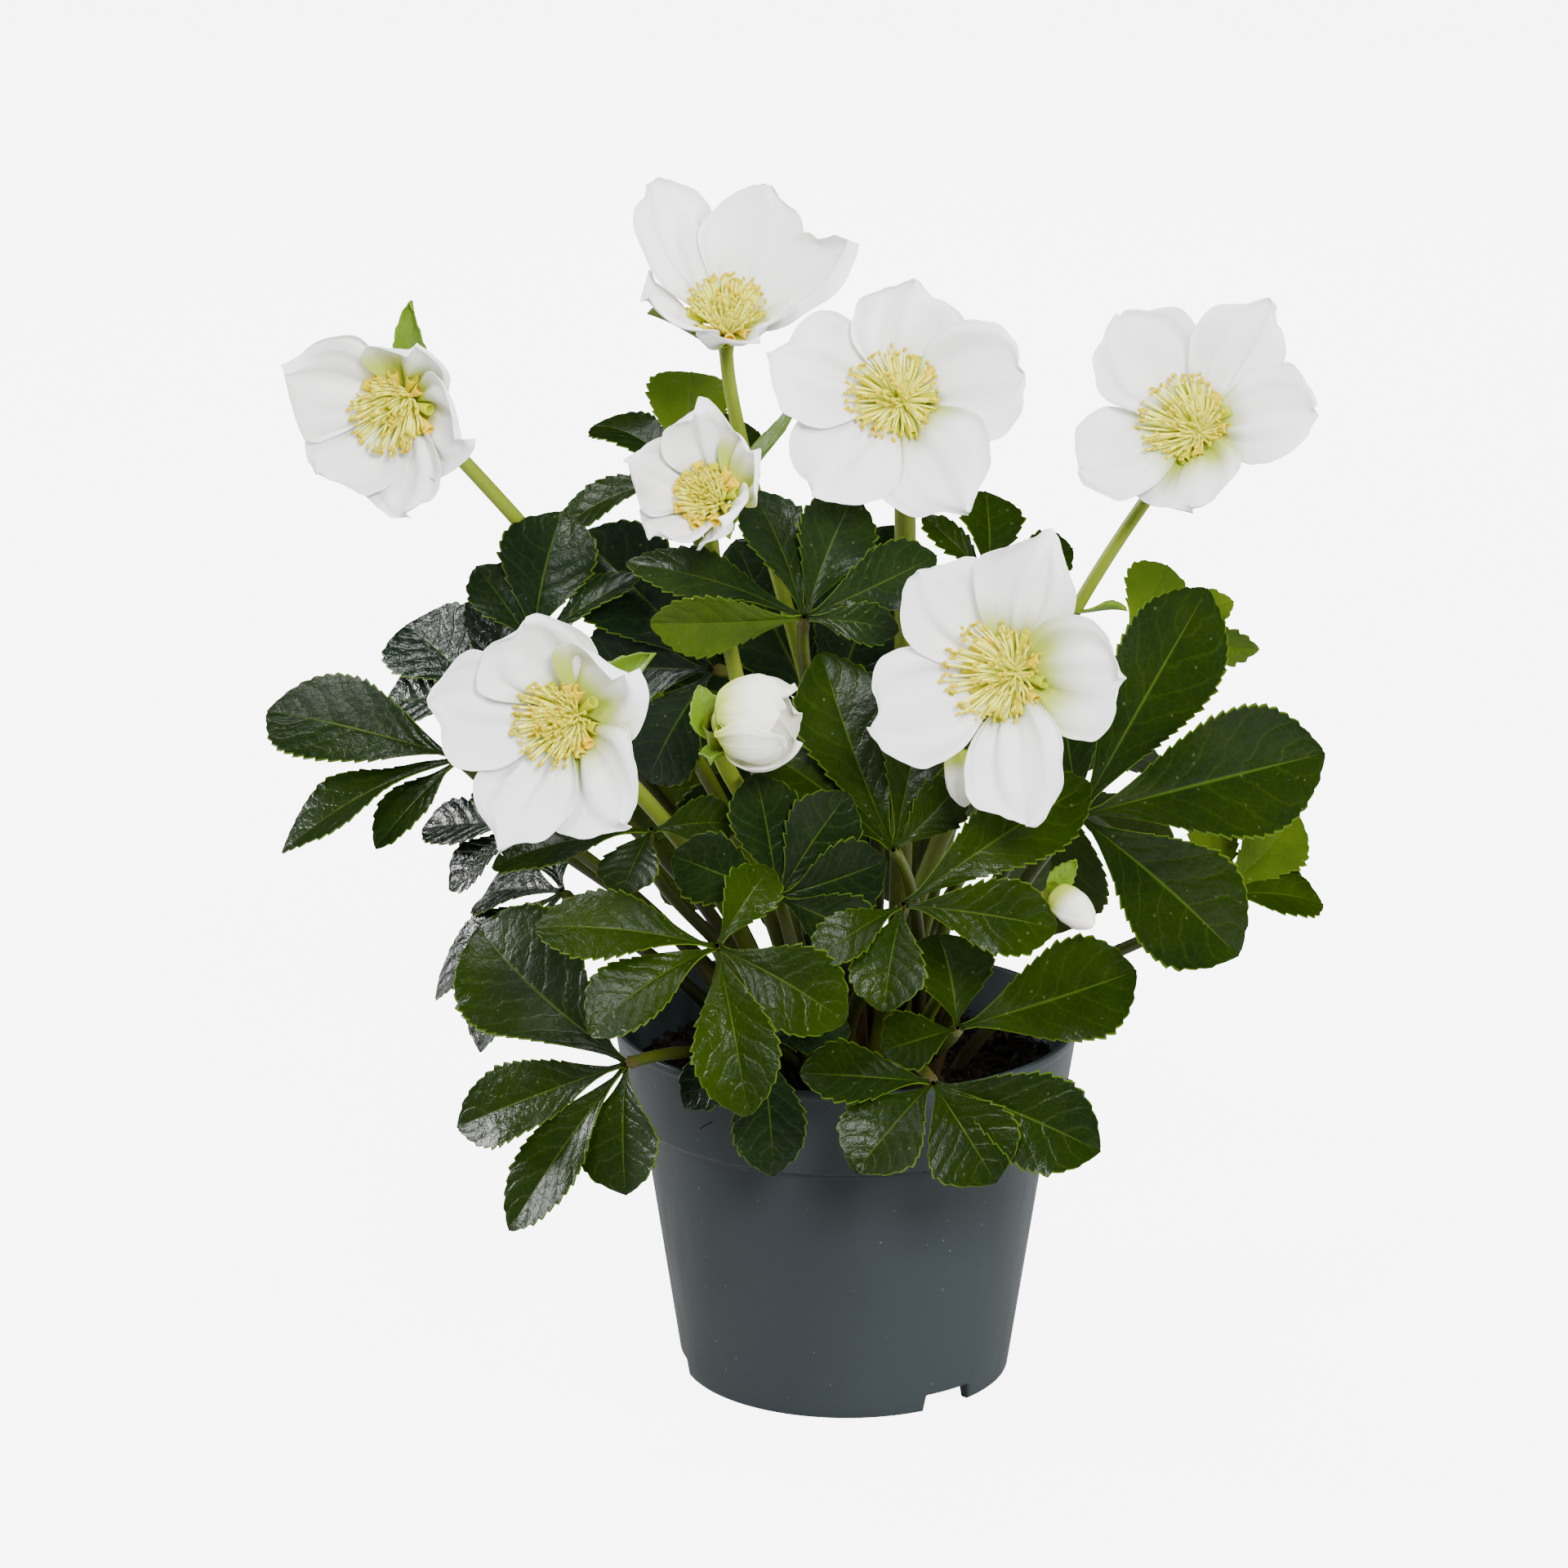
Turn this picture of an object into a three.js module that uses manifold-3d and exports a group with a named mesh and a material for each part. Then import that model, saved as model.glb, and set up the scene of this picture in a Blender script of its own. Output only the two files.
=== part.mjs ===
// A Christmas rose (Helleborus niger) in a round plastic nursery pot.
//
// Millimetres, +Z up. The origin is the middle of the pot's underside, on the surface that the pot stands on,
// and -Y is the front. Every leaf, flower stem and bud stem rises from its own hole in the potting soil.
import * as THREE from "three";
import { mergeVertices } from "three/addons/utils/BufferGeometryUtils.js";
import Module from "manifold-3d";

const wasm = await Module();
wasm.setup();

// ---------------------------------------------------------------- driving dimensions

const POT = {
  height: 102,
  rimRadius: 65, // outside, at the top
  collarHeight: 25, // the wider band below the rim
  collarStep: 3.5, // how far the body is set in under the collar
  wallSlope: 0.15, // the wall leans out by this share of its height
  wall: 1.3,
  lip: 1.1, // the rolled edge stands this proud of the collar
  lipHeight: 2.4,
  floorHeight: 5, // underside of the raised floor
  floorThickness: 1.6,
  footWidth: 2.6,
  padRadius: 12, // the middle of the floor reaches down to the ground
  facets: 28,
};
const NOTCH = { angles: [-52, 68, 188], width: 15, height: 5 }; // drainage gaps in the foot, degrees from +X
const DRAIN = { count: 6, radius: 3.5, ring: 27 };

const SOIL = { top: 88, edgeDrop: 2.5, level: 36, clearance: 0.5 };
const HOLE = { depth: 12, clearance: 0.35 };

const PETIOLE = { radius: 2, sides: 4, steps: 4, backReach: 0.3 };
const LEAFLET = {
  thickness: 0.9,
  width: 0.46, // share of the leaflet's length, unless the leaf says otherwise
  rootGap: 0.8, // each leaflet starts this far from the middle, inside the end of the petiole
  fold: 12, // degrees that each half rises from the midrib
  roll: 12, // degrees that each is turned about its midrib, so that one side lies over its neighbour
  toothDepth: 0.07, // share of the half width
  small: 39, // shorter ones than this have a plainer edge
};
// Stations along a leaflet, and which way its edge steps there: out to a tooth, or in to a notch.
const LEAFLET_ROWS = [
  [0, 0],
  [0.3, 0],
  [0.53, 1],
  [0.66, -1],
  [0.85, 1],
  [1, 0],
];
const SMALL_LEAFLET_ROWS = [[0, 0], [0.3, 0], [0.58, 0.4], [0.83, 0.8], [1, 0]];

const SEPAL = {
  thickness: 0.8,
  rows: [0, 0.34, 0.72, 1],
  columns: 3,
  rootRadius: 3,
  wrap: 0.85, // how closely each one follows the round of the whole flower
  cup: 0.012, // and how much more it is dished, per millimetre
  overlap: 1.6, // one side lies this far over its neighbour, and the other as far under
};
const RECEPTACLE = { radius: 4.6, below: 1.8, above: 1.6 };
const BUD = { opens: [30, 146], arc: 1.26, share: 0.86 }; // an opening bud's sepals close over its middle
const CENTRE = {
  gap: 0.4, // clear of the receptacle
  radius: 4,
  height: 3.4,
  rings: [5, 10, 10], // corners round the dome, from the top down to its foot
  slopes: [30, 58, 90], // and how far each ring is from the top, in degrees
  style: { length: 9, lean: 8, end: 0.6 },
  stamen: { length: 12.5, root: 0.38, end: 0.85, leans: [24, 40, 58] },
  nectary: { length: 5, lean: 62, root: 0.6, end: 1.3 },
};
const STEM = {
  sides: 5,
  steps: 6,
  backReach: 0.2,
  gap: 0.3, // to the flower that it carries
  start: 7, // the stem is first tried this far below the flower,
  passes: 6, // and then moved up in this many steps
};

// Each leaf: the middle where its leaflets meet, the way its upper face looks (degrees right of the front,
// and above level), how far its leaflets rise at the root and then droop, and the leaflets themselves:
// [direction in the leaf's own plane, 0 to the right and 90 up; length; width over length; roll about its
// own length]. The last two are left out where they are the usual ones. `arrives` is how the petiole travels
// at its end, in the same two angles, where that isn't the way the leaf looks. `grows` is where the stem
// stands in the soil, in x and y, where that isn't one of the common places about the crown.
const LEAVES = [
  {
    name: "leaf_far_left",
    middle: [-106, -30, 186],
    looks: [-20, 40],
    rise: 10,
    droop: 25,
    leaflets: [[171, 62, 0.46], [214, 56, 0.4, 30], [238, 34, 0.46, 20]],
  },
  {
    name: "leaf_left_glossy",
    middle: [-99, 8, 192],
    looks: [-25, 40],
    rise: 10,
    droop: 30,
    leaflets: [[148, 42, 0.62], [100, 38, 0.56], [186, 34, 0.56]],
  },
  {
    name: "leaf_left_upright",
    middle: [-86, -15, 214],
    looks: [-15, 25],
    sway: [-9, 0],
    rise: 8,
    droop: 15,
    leaflets: [[84, 38, 0.66], [132, 28, 0.5], [37, 36, 0.4, -55]],
  },
  {
    name: "leaf_top_back",
    middle: [-46, 48, 246],
    looks: [-10, 50],
    rise: 10,
    droop: 40,
    leaflets: [[204, 40, 0.36], [140, 40, 0.42], [94, 44, 0.5], [48, 30, 0.5]],
  },
  {
    name: "leaf_left_inner",
    middle: [-37, -12, 206],
    looks: [-15, 8],
    sway: [8, -12],
    rise: 8,
    droop: 25,
    leaflets: [[139, 54, 0.54], [184, 41, 0.56], [240, 38, 0.6]],
  },
  {
    name: "leaf_top_middle",
    middle: [-12, -41, 228],
    looks: [0, 35],
    sway: [-3, -1],
    rise: 12,
    droop: 25,
    leaflets: [
      [162, 51, 0.28],
      [111, 40, 0.42],
      [69, 39, 0.5],
      [27, 41, 0.42],
      [352, 26, 0.42],
      [182, 42, 0.4, -60],
    ],
  },
  {
    name: "leaf_top_right",
    middle: [40, 32, 220],
    looks: [10, 35],
    rise: 5,
    droop: 30,
    leaflets: [[82, 30, 0.6], [124, 28, 0.34], [20, 30]],
  },
  {
    name: "leaf_right_large",
    middle: [62, -45, 174],
    looks: [10, 28],
    rise: 5,
    droop: 18,
    leaflets: [[55, 76, 0.38], [11, 74, 0.45], [315, 58, 0.54], [92, 44, 0.44]],
  },
  {
    name: "leaf_right_back",
    middle: [79, 35, 203],
    looks: [0, 60],
    sway: [-3, -7],
    rise: 12,
    droop: 20,
    leaflets: [[66, 31, 0.54], [24, 34, 0.4], [352, 38, 0.3, 55]],
  },
  {
    name: "leaf_right_low",
    middle: [104, 8, 135],
    looks: [20, 45],
    rise: 12,
    droop: 30,
    leaflets: [[80, 28, 0.56], [36, 41, 0.46], [352, 33, 0.54, -25]],
  },
  {
    name: "leaf_centre_tall",
    middle: [12, -54, 167],
    looks: [-5, 25],
    sway: [4, -9],
    rise: 6,
    droop: 14,
    leaflets: [[144, 46, 0.5], [112, 58, 0.42], [78, 50, 0.36], [48, 27, 0.5]],
  },
  {
    name: "leaf_centre_front",
    middle: [14, -84, 161],
    looks: [0, 38],
    rise: 12,
    droop: 28,
    leaflets: [[260, 31, 0.62], [214, 29, 0.48], [351, 42, 0.46], [35, 63, 0.34]],
  },
  {
    name: "leaf_front_right",
    middle: [29, -70, 122],
    looks: [5, 38],
    rise: 12,
    droop: 24,
    leaflets: [[97, 28, 0.84], [17, 53, 0.5], [196, 22, 0.8]],
  },
  {
    name: "leaf_front_low",
    middle: [22, -88, 113],
    looks: [0, 40],
    arrives: [10, 0],
    rise: 14,
    droop: 30,
    leaflets: [[176, 36, 0.5], [230, 33, 0.7], [300, 33, 0.74], [336, 49, 0.5]],
  },
  {
    name: "leaf_front_left",
    middle: [-35, -86, 150],
    looks: [-5, 42],
    rise: 12,
    droop: 30,
    leaflets: [[174, 50, 0.42], [218, 42, 0.5], [282, 49, 0.44], [330, 41, 0.54], [62, 28, 0.5]],
  },
  {
    name: "leaf_low_left",
    middle: [-60, -58, 108],
    looks: [-28, 25],
    arrives: [-45, 0],
    rise: 6,
    droop: 18,
    leaflets: [[151, 66, 0.54], [206, 56, 0.4], [242, 57, 0.36], [280, 36, 0.72]],
  },
  {
    name: "leaf_front_hanging",
    middle: [-24, -74, 121],
    looks: [0, 30],
    rise: 8,
    droop: 22,
    leaflets: [[275, 38, 0.5], [222, 28, 0.5], [5, 25, 0.5]],
  },
  {
    name: "leaf_left_middle",
    middle: [-53, -52, 172],
    looks: [-10, 55],
    sway: [-14, 10],
    rise: 10,
    droop: 35,
    leaflets: [[191, 46, 0.44], [254, 22, 0.8], [14, 24, 0.6]],
  },
  {
    name: "leaf_left_side",
    middle: [-88, -8, 160],
    looks: [-35, 40],
    rise: 8,
    droop: 30,
    leaflets: [[150, 26, 0.55], [188, 38, 0.4], [226, 30, 0.5]],
  },
  {
    name: "leaf_left_low_back",
    middle: [-80, 22, 132],
    looks: [-50, 45],
    rise: 8,
    droop: 34,
    leaflets: [[190, 38, 0.56], [232, 52, 0.46], [268, 52, 0.44], [140, 32, 0.5]],
  },
  {
    name: "leaf_back_left",
    middle: [-70, 72, 178],
    looks: [-140, 50],
    rise: 10,
    droop: 35,
    leaflets: [[30, 48, 0.5], [82, 44, 0.5], [338, 46, 0.5], [290, 50, 0.5]],
  },
  {
    name: "leaf_back_middle",
    middle: [0, 84, 196],
    looks: [180, 45],
    sway: [12, 0],
    rise: 10,
    droop: 30,
    leaflets: [[8, 48, 0.52], [66, 46, 0.5], [122, 46, 0.5], [184, 50, 0.52]],
  },
  {
    name: "leaf_back_right",
    middle: [54, 72, 152],
    looks: [155, 24],
    rise: 10,
    droop: 32,
    leaflets: [[92, 44, 0.5], [152, 48, 0.52], [214, 54, 0.56], [268, 56, 0.6]],
  },
  {
    name: "leaf_back_low",
    middle: [-12, 76, 150],
    looks: [182, 18],
    rise: 10,
    droop: 30,
    leaflets: [[186, 58, 0.56], [230, 56, 0.56], [272, 56, 0.56], [314, 58, 0.56], [356, 56, 0.56]],
  },
  {
    name: "leaf_inner",
    middle: [-6, 34, 178],
    looks: [0, 15],
    sway: [16, 8],
    rise: 6,
    droop: 12,
    leaflets: [[70, 60, 0.6], [116, 58, 0.6], [166, 56, 0.6], [232, 60, 0.6], [16, 60, 0.58]],
  },
  {
    name: "leaf_inner_front",
    middle: [-19, -64, 157],
    looks: [0, 15],
    grows: [-6, -33],
    rise: 6,
    droop: 14,
    leaflets: [[158, 31, 0.6], [100, 34, 0.56], [56, 34, 0.56], [18, 31, 0.6], [335, 30, 0.6]],
  },
];

// Each flower: the top of its stem, the way it looks, how steeply its sepals leave the middle and how level
// they end, its stem's radius, and its sepals: [direction round the flower, length, width].
const FLOWERS = [
  {
    name: "flower_left",
    middle: [-119, -25, 284],
    looks: [-22, -8],
    sway: [-5, 22],
    arrives: [-50, 50],
    opens: [22, 45],
    stem: 2.1,
    sepals: [[157, 32, 35], [62, 24, 28], [350, 27, 33], [282, 33, 28], [221, 31, 33]],
    bracts: [[94, 29, 11, 7]],
  },
  {
    name: "flower_top",
    middle: [-33, 5, 297],
    looks: [6, 58],
    sway: [0, -3],
    opens: [30, 58],
    stem: 2,
    sepals: [[127, 45, 33], [66, 41, 33], [8, 41, 27], [288, 25, 32], [200, 31, 30]],
    bracts: [[196, 28, 12, 5], [10, 26, 12, 42]],
  },
  {
    name: "flower_upper_middle",
    middle: [13, -25, 284],
    looks: [-6, 22],
    opens: [32, 4],
    stem: 3,
    sepals: [[82, 30, 32], [11, 37, 33], [303, 37, 33], [233, 36, 32], [164, 35, 33]],
    bracts: [[20, 16, 8, 14]],
  },
  {
    name: "flower_right",
    middle: [94, -10, 272],
    looks: [-24, 36],
    arrives: [10, 45],
    sway: [-12, 0],
    opens: [32, 8],
    stem: 1.9,
    sepals: [[131, 37, 33], [63, 39, 30], [6, 39, 32], [286, 28, 32], [217, 34, 32]],
    bracts: [[14, 15, 9, 66]],
  },
  {
    name: "flower_small",
    middle: [-36, -45, 261],
    looks: [-26, 32],
    arrives: [-26, 14],
    sway: [-25, -9],
    opens: [22, 74],
    stem: 2.1,
    sepals: [[100, 26, 24], [30, 25, 23], [318, 22, 23], [245, 23, 25], [172, 25, 24]],
    bracts: [[304, 18, 11, 10]],
  },
  {
    name: "flower_front_right",
    middle: [42, -75, 222],
    looks: [-24, 12],
    arrives: [0, 45],
    sway: [3, 18],
    opens: [32, 2],
    stem: 2.5,
    sepals: [[130, 36, 32], [72, 41, 31], [4, 37, 34], [286, 42, 34], [208, 38, 34]],
    bracts: [[40, 16, 8, 12]],
  },
  {
    name: "flower_front_left",
    middle: [-73, -80, 211],
    looks: [-26, 6],
    sway: [-7, 23],
    arrives: [-42, 54],
    opens: [24, 30],
    stem: 2.3,
    sepals: [[108, 29, 38], [177, 36, 34], [252, 37, 32], [317, 36, 37], [36, 28, 34]],
    bracts: [[38, 34, 13, 5]],
  },
];

// Buds: the top of the stem, the way the tip points, its length and width, and how far it has opened.
const BUDS = [
  {
    name: "bud_opening",
    middle: [-34, -70, 207],
    looks: [72, 6],
    arrives: [40, 50],
    sway: [9, 4],
    length: 21.5,
    width: 20,
    stem: 2.4,
    sepals: 5,
    bracts: [[112, 15, 10, 8], [262, 11, 8, 11]],
  },
  {
    name: "bud_front",
    middle: [29, -59, 197],
    looks: [20, -72],
    grows: [9.5, -6],
    arrives: [20, -72],
    sway: [18, 20],
    length: 16,
    width: 9.5,
    stem: 1.7,
    sepals: 0,
    bracts: [[90, 10, 6, 4]],
  },
  {
    name: "bud_right",
    middle: [55, -62, 158],
    looks: [50, -30],
    arrives: [40, 30],
    length: 15,
    width: 10,
    stem: 1.7,
    sepals: 0,
    bracts: [[60, 12, 7, 3]],
  },
];

// ---------------------------------------------------------------- frames and small helpers

const radians = THREE.MathUtils.degToRad;
const vector = (values) => new THREE.Vector3(...values);

// The frame of something that looks out at a bearing (degrees right of the front) and a height above level.
function frameLooking(bearing, height) {
  const [b, h] = [radians(bearing), radians(height)];
  const out = new THREE.Vector3(Math.cos(h) * Math.sin(b), -Math.cos(h) * Math.cos(b), Math.sin(h));
  const right = new THREE.Vector3(Math.cos(b), Math.sin(b), 0);
  return { right, up: out.clone().cross(right), out };
}

// A direction in the frame's own plane.
function inPlane(frame, angle) {
  const a = radians(angle);
  return frame.right.clone().multiplyScalar(Math.cos(a)).addScaledVector(frame.up, Math.sin(a));
}

// Turns a geometry whose own +Z should point along `along`, and moves its origin to `at`.
function stood(geometry, at, along) {
  const turn = new THREE.Quaternion().setFromUnitVectors(new THREE.Vector3(0, 0, 1), along);
  return geometry.applyQuaternion(turn).translate(at.x, at.y, at.z);
}

// ---------------------------------------------------------------- solids

function solidOf(geometry) {
  const bare = geometry.clone();
  bare.deleteAttribute("normal");
  bare.deleteAttribute("uv");
  const merged = mergeVertices(bare, 1e-4);
  return new wasm.Manifold(
    new wasm.Mesh({
      numProp: 3,
      vertProperties: new Float32Array(merged.attributes.position.array),
      triVerts: new Uint32Array(merged.index.array),
    }),
  );
}

function geometryOf(solid) {
  const mesh = solid.getMesh();
  return new THREE.BufferGeometry()
    .setAttribute("position", new THREE.BufferAttribute(mesh.vertProperties, 3))
    .setIndex(new THREE.BufferAttribute(mesh.triVerts, 1));
}

const fused = (geometries) => wasm.Manifold.union(geometries.map(solidOf));

// A round body on the Z axis. The profile lists [radius, height] and closes on itself or on the axis.
function turned(profile, facets) {
  const lathe = new THREE.LatheGeometry(
    profile.map(([r, z]) => new THREE.Vector2(r, z)),
    facets,
  );
  return lathe.rotateX(Math.PI / 2);
}

// A stem of even thickness along a curve.
function rod(curve, radius, sides, steps) {
  const section = new THREE.Shape(
    Array.from({ length: sides }, (_, i) => {
      const a = (2 * Math.PI * i) / sides;
      return new THREE.Vector2(radius * Math.cos(a), radius * Math.sin(a));
    }),
  );
  return new THREE.ExtrudeGeometry(section, { steps, extrudePath: curve, bevelEnabled: false });
}

// A thin closed sheet round a surface. `rows` are stations u from 0 to 1, `columns` counts strips across, and
// place(u, v, row) gives the surface for v from -1 to 1. Both faces are split alike. Where `pointed`, the
// first and last rows are drawn in to one point each.
function sheet(rows, columns, place, thickness, pointed) {
  const step = 1e-3;
  const positions = [];
  const starts = [];
  const counts = rows.map((_, i) => (pointed && (i === 0 || i === rows.length - 1) ? 1 : columns + 1));
  for (const side of [0.5, -0.5]) {
    rows.forEach((u, i) => {
      starts.push(positions.length / 3);
      for (let j = 0; j < counts[i]; j++) {
        const v = counts[i] === 1 ? 0 : (2 * j) / columns - 1;
        const along = place(Math.min(u + step, 1), v, i).sub(place(Math.max(u - step, 0), v, i));
        const uInside = Math.min(Math.max(u, 0.04), 0.96);
        const across = place(uInside, v + step, i).sub(place(uInside, v - step, i));
        const normal = along.cross(across).normalize();
        positions.push(...place(u, v, i).addScaledVector(normal, side * thickness));
      }
    });
  }
  const triangles = [];
  const half = rows.length;
  const strip = (a, na, b, nb, flip) => {
    // joins two neighbouring rows of one face, either of which may be a single point
    for (let j = 0; j < Math.max(na, nb) - 1; j++) {
      const corners = [];
      if (na > 1) corners.push([a + j, a + j + 1, b + Math.min(j, nb - 1)]);
      if (nb > 1) corners.push([a + Math.min(j + 1, na - 1), b + j + 1, b + j]);
      for (const [p, q, r] of corners) triangles.push(...(flip ? [p, r, q] : [p, q, r]));
    }
  };
  for (let i = 0; i < rows.length - 1; i++) {
    const [na, nb] = [counts[i], counts[i + 1]];
    strip(starts[i], na, starts[i + 1], nb, true);
    strip(starts[half + i], na, starts[half + i + 1], nb, false);
    for (const [ja, jb, flip] of [[0, 0, true], [na - 1, nb - 1, false]]) {
      const [a, b] = [starts[i] + ja, starts[i + 1] + jb];
      const [c, d] = [starts[half + i] + ja, starts[half + i + 1] + jb];
      for (const [p, q, r] of [[a, b, c], [b, d, c]]) triangles.push(...(flip ? [p, r, q] : [p, q, r]));
    }
  }
  for (const [i, flip] of [[0, false], [half - 1, true]]) {
    for (let j = 0; j < counts[i] - 1; j++) {
      const [a, b, c, d] = [starts[i] + j, starts[i] + j + 1, starts[half + i] + j, starts[half + i] + j + 1];
      for (const [p, q, r] of [[a, b, c], [b, d, c]]) triangles.push(...(flip ? [p, r, q] : [p, q, r]));
    }
  }
  return new THREE.BufferGeometry()
    .setAttribute("position", new THREE.Float32BufferAttribute(positions, 3))
    .setIndex(triangles);
}

// A blade that leaves `root` along `along`, its upper face towards `normal`. It starts `rise` degrees above
// the plane and bends down by `droop` along its length. halfWidth(u) is in millimetres and lift(u, v) raises
// it. curl(forward, angle) is how sharply it is rolled up across its width, as one over the radius.
function bladeSurface({ root, along, normal, length, rise, droop, halfWidth, lift, curl = () => 1e-6 }) {
  const side = normal.clone().cross(along);
  const [start, bend] = [radians(rise), radians(droop) || 1e-6];
  return (u, v) => {
    const angle = start - bend * u;
    const forward = (length * (Math.sin(start) - Math.sin(angle))) / bend;
    const height = (length * (Math.cos(angle) - Math.cos(start))) / bend;
    const rolled = curl(forward, angle);
    const turn = v * halfWidth(u) * rolled;
    const raised = lift(u, v) + (1 - Math.cos(turn)) / rolled;
    return root
      .clone()
      .addScaledVector(along, forward - raised * Math.sin(angle))
      .addScaledVector(normal, height + raised * Math.cos(angle))
      .addScaledVector(side, Math.sin(turn) / rolled);
  };
}

// ---------------------------------------------------------------- leaves

// Narrow at the root, widest past the middle, with a blunt tip.
const leafletOutline = (u) => Math.max(0, Math.sin(Math.PI * u ** 1.7)) ** 0.8;

function leaflet(leaf, frame, [angle, length, width = LEAFLET.width, roll = 0]) {
  const along = inPlane(frame, angle);
  const rows = length < LEAFLET.small ? SMALL_LEAFLET_ROWS : LEAFLET_ROWS;
  const fold = Math.tan(radians(LEAFLET.fold));
  const tooth = (row) => 1 + LEAFLET.toothDepth * rows[row][1];
  const halfWidth = (u) => width * length * 0.5 * leafletOutline(u);
  const surface = bladeSurface({
    root: vector(leaf.middle).addScaledVector(along, LEAFLET.rootGap),
    along,
    normal: frame.out.clone().applyAxisAngle(along, radians(LEAFLET.roll + roll)),
    length: length - LEAFLET.rootGap,
    rise: leaf.rise,
    droop: leaf.droop,
    halfWidth,
    lift: (u, v) => fold * halfWidth(u) * Math.abs(v),
  });
  const place = (u, v, row) => surface(u, v * tooth(row));
  return sheet(rows.map(([u]) => u), 2, place, LEAFLET.thickness, true);
}

// A stem from the bottom of its hole to `end`, where it arrives along `arrival`. `sway` moves its middle
// aside, in x and y, to clear what grows next to it.
function stemCurve(entry, end, arrival, reach, sway = [0, 0]) {
  const foot = entry.clone().setZ(SOIL.top - HOLE.depth);
  const length = foot.distanceTo(end);
  const aside = new THREE.Vector3(...sway, 0);
  const rising = new THREE.Vector3(entry.x * 0.3, entry.y * 0.3, length * 0.42);
  return new THREE.CubicBezierCurve3(
    foot,
    foot.clone().add(rising).addScaledVector(aside, 0.5),
    end.clone().addScaledVector(arrival, -length * reach).add(aside),
    end,
  );
}

const stems = []; // every stem, for its hole in the soil

function leafSolid(leaf) {
  const frame = frameLooking(...leaf.looks);
  const middle = vector(leaf.middle);
  const entry = crownPlace(leaf.name);
  const arrival = frameLooking(...(leaf.arrives ?? leaf.looks)).out;
  const end = middle.clone().addScaledVector(arrival, 1);
  const curve = stemCurve(entry, end, arrival, PETIOLE.backReach, leaf.sway);
  stems.push({ curve, radius: PETIOLE.radius, sides: PETIOLE.sides, steps: PETIOLE.steps });
  const petiole = rod(curve, PETIOLE.radius, PETIOLE.sides, PETIOLE.steps);
  return fused([petiole, ...leaf.leaflets.map((one) => leaflet(leaf, frame, one))]);
}

// ---------------------------------------------------------------- flowers and buds

// Broad and rounded, narrow only at the very root.
const sepalOutline = (u) =>
  u < 0.6
    ? 0.06 + 0.94 * Math.sin((Math.PI / 2) * (u / 0.6) ** 1.2)
    : 0.3 + 0.7 * Math.cos((Math.PI / 2) * ((u - 0.6) / 0.4)) ** 0.8;

function sepal(flower, frame, [angle, length, width]) {
  const along = inPlane(frame, angle);
  const [steep, level] = flower.opens;
  const place = bladeSurface({
    root: vector(flower.middle).addScaledVector(along, SEPAL.rootRadius),
    along,
    normal: frame.out,
    length,
    rise: steep,
    droop: steep - level,
    halfWidth: (u) => (width / 2) * sepalOutline(u),
    lift: (u, v) => SEPAL.overlap * v * Math.min(1, 5 * u),
    curl: (forward, angle) => SEPAL.cup + (SEPAL.wrap * Math.sin(angle)) / (SEPAL.rootRadius + forward),
  });
  return sheet(SEPAL.rows, SEPAL.columns, place, SEPAL.thickness, false);
}

// The flat button that carries the sepals, its own +Z along the flower.
const receptacle = () =>
  turned(
    [
      [0, -RECEPTACLE.below],
      [2.6, -RECEPTACLE.below],
      [RECEPTACLE.radius, 0.2],
      [3.6, RECEPTACLE.above],
      [0, RECEPTACLE.above],
    ],
    5,
  );

function sepalsSolid(flower) {
  const frame = frameLooking(...flower.looks);
  const button = stood(receptacle(), vector(flower.middle), frame.out);
  return fused([button, ...flower.sepals.map((one) => sepal(flower, frame, one))]);
}

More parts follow.
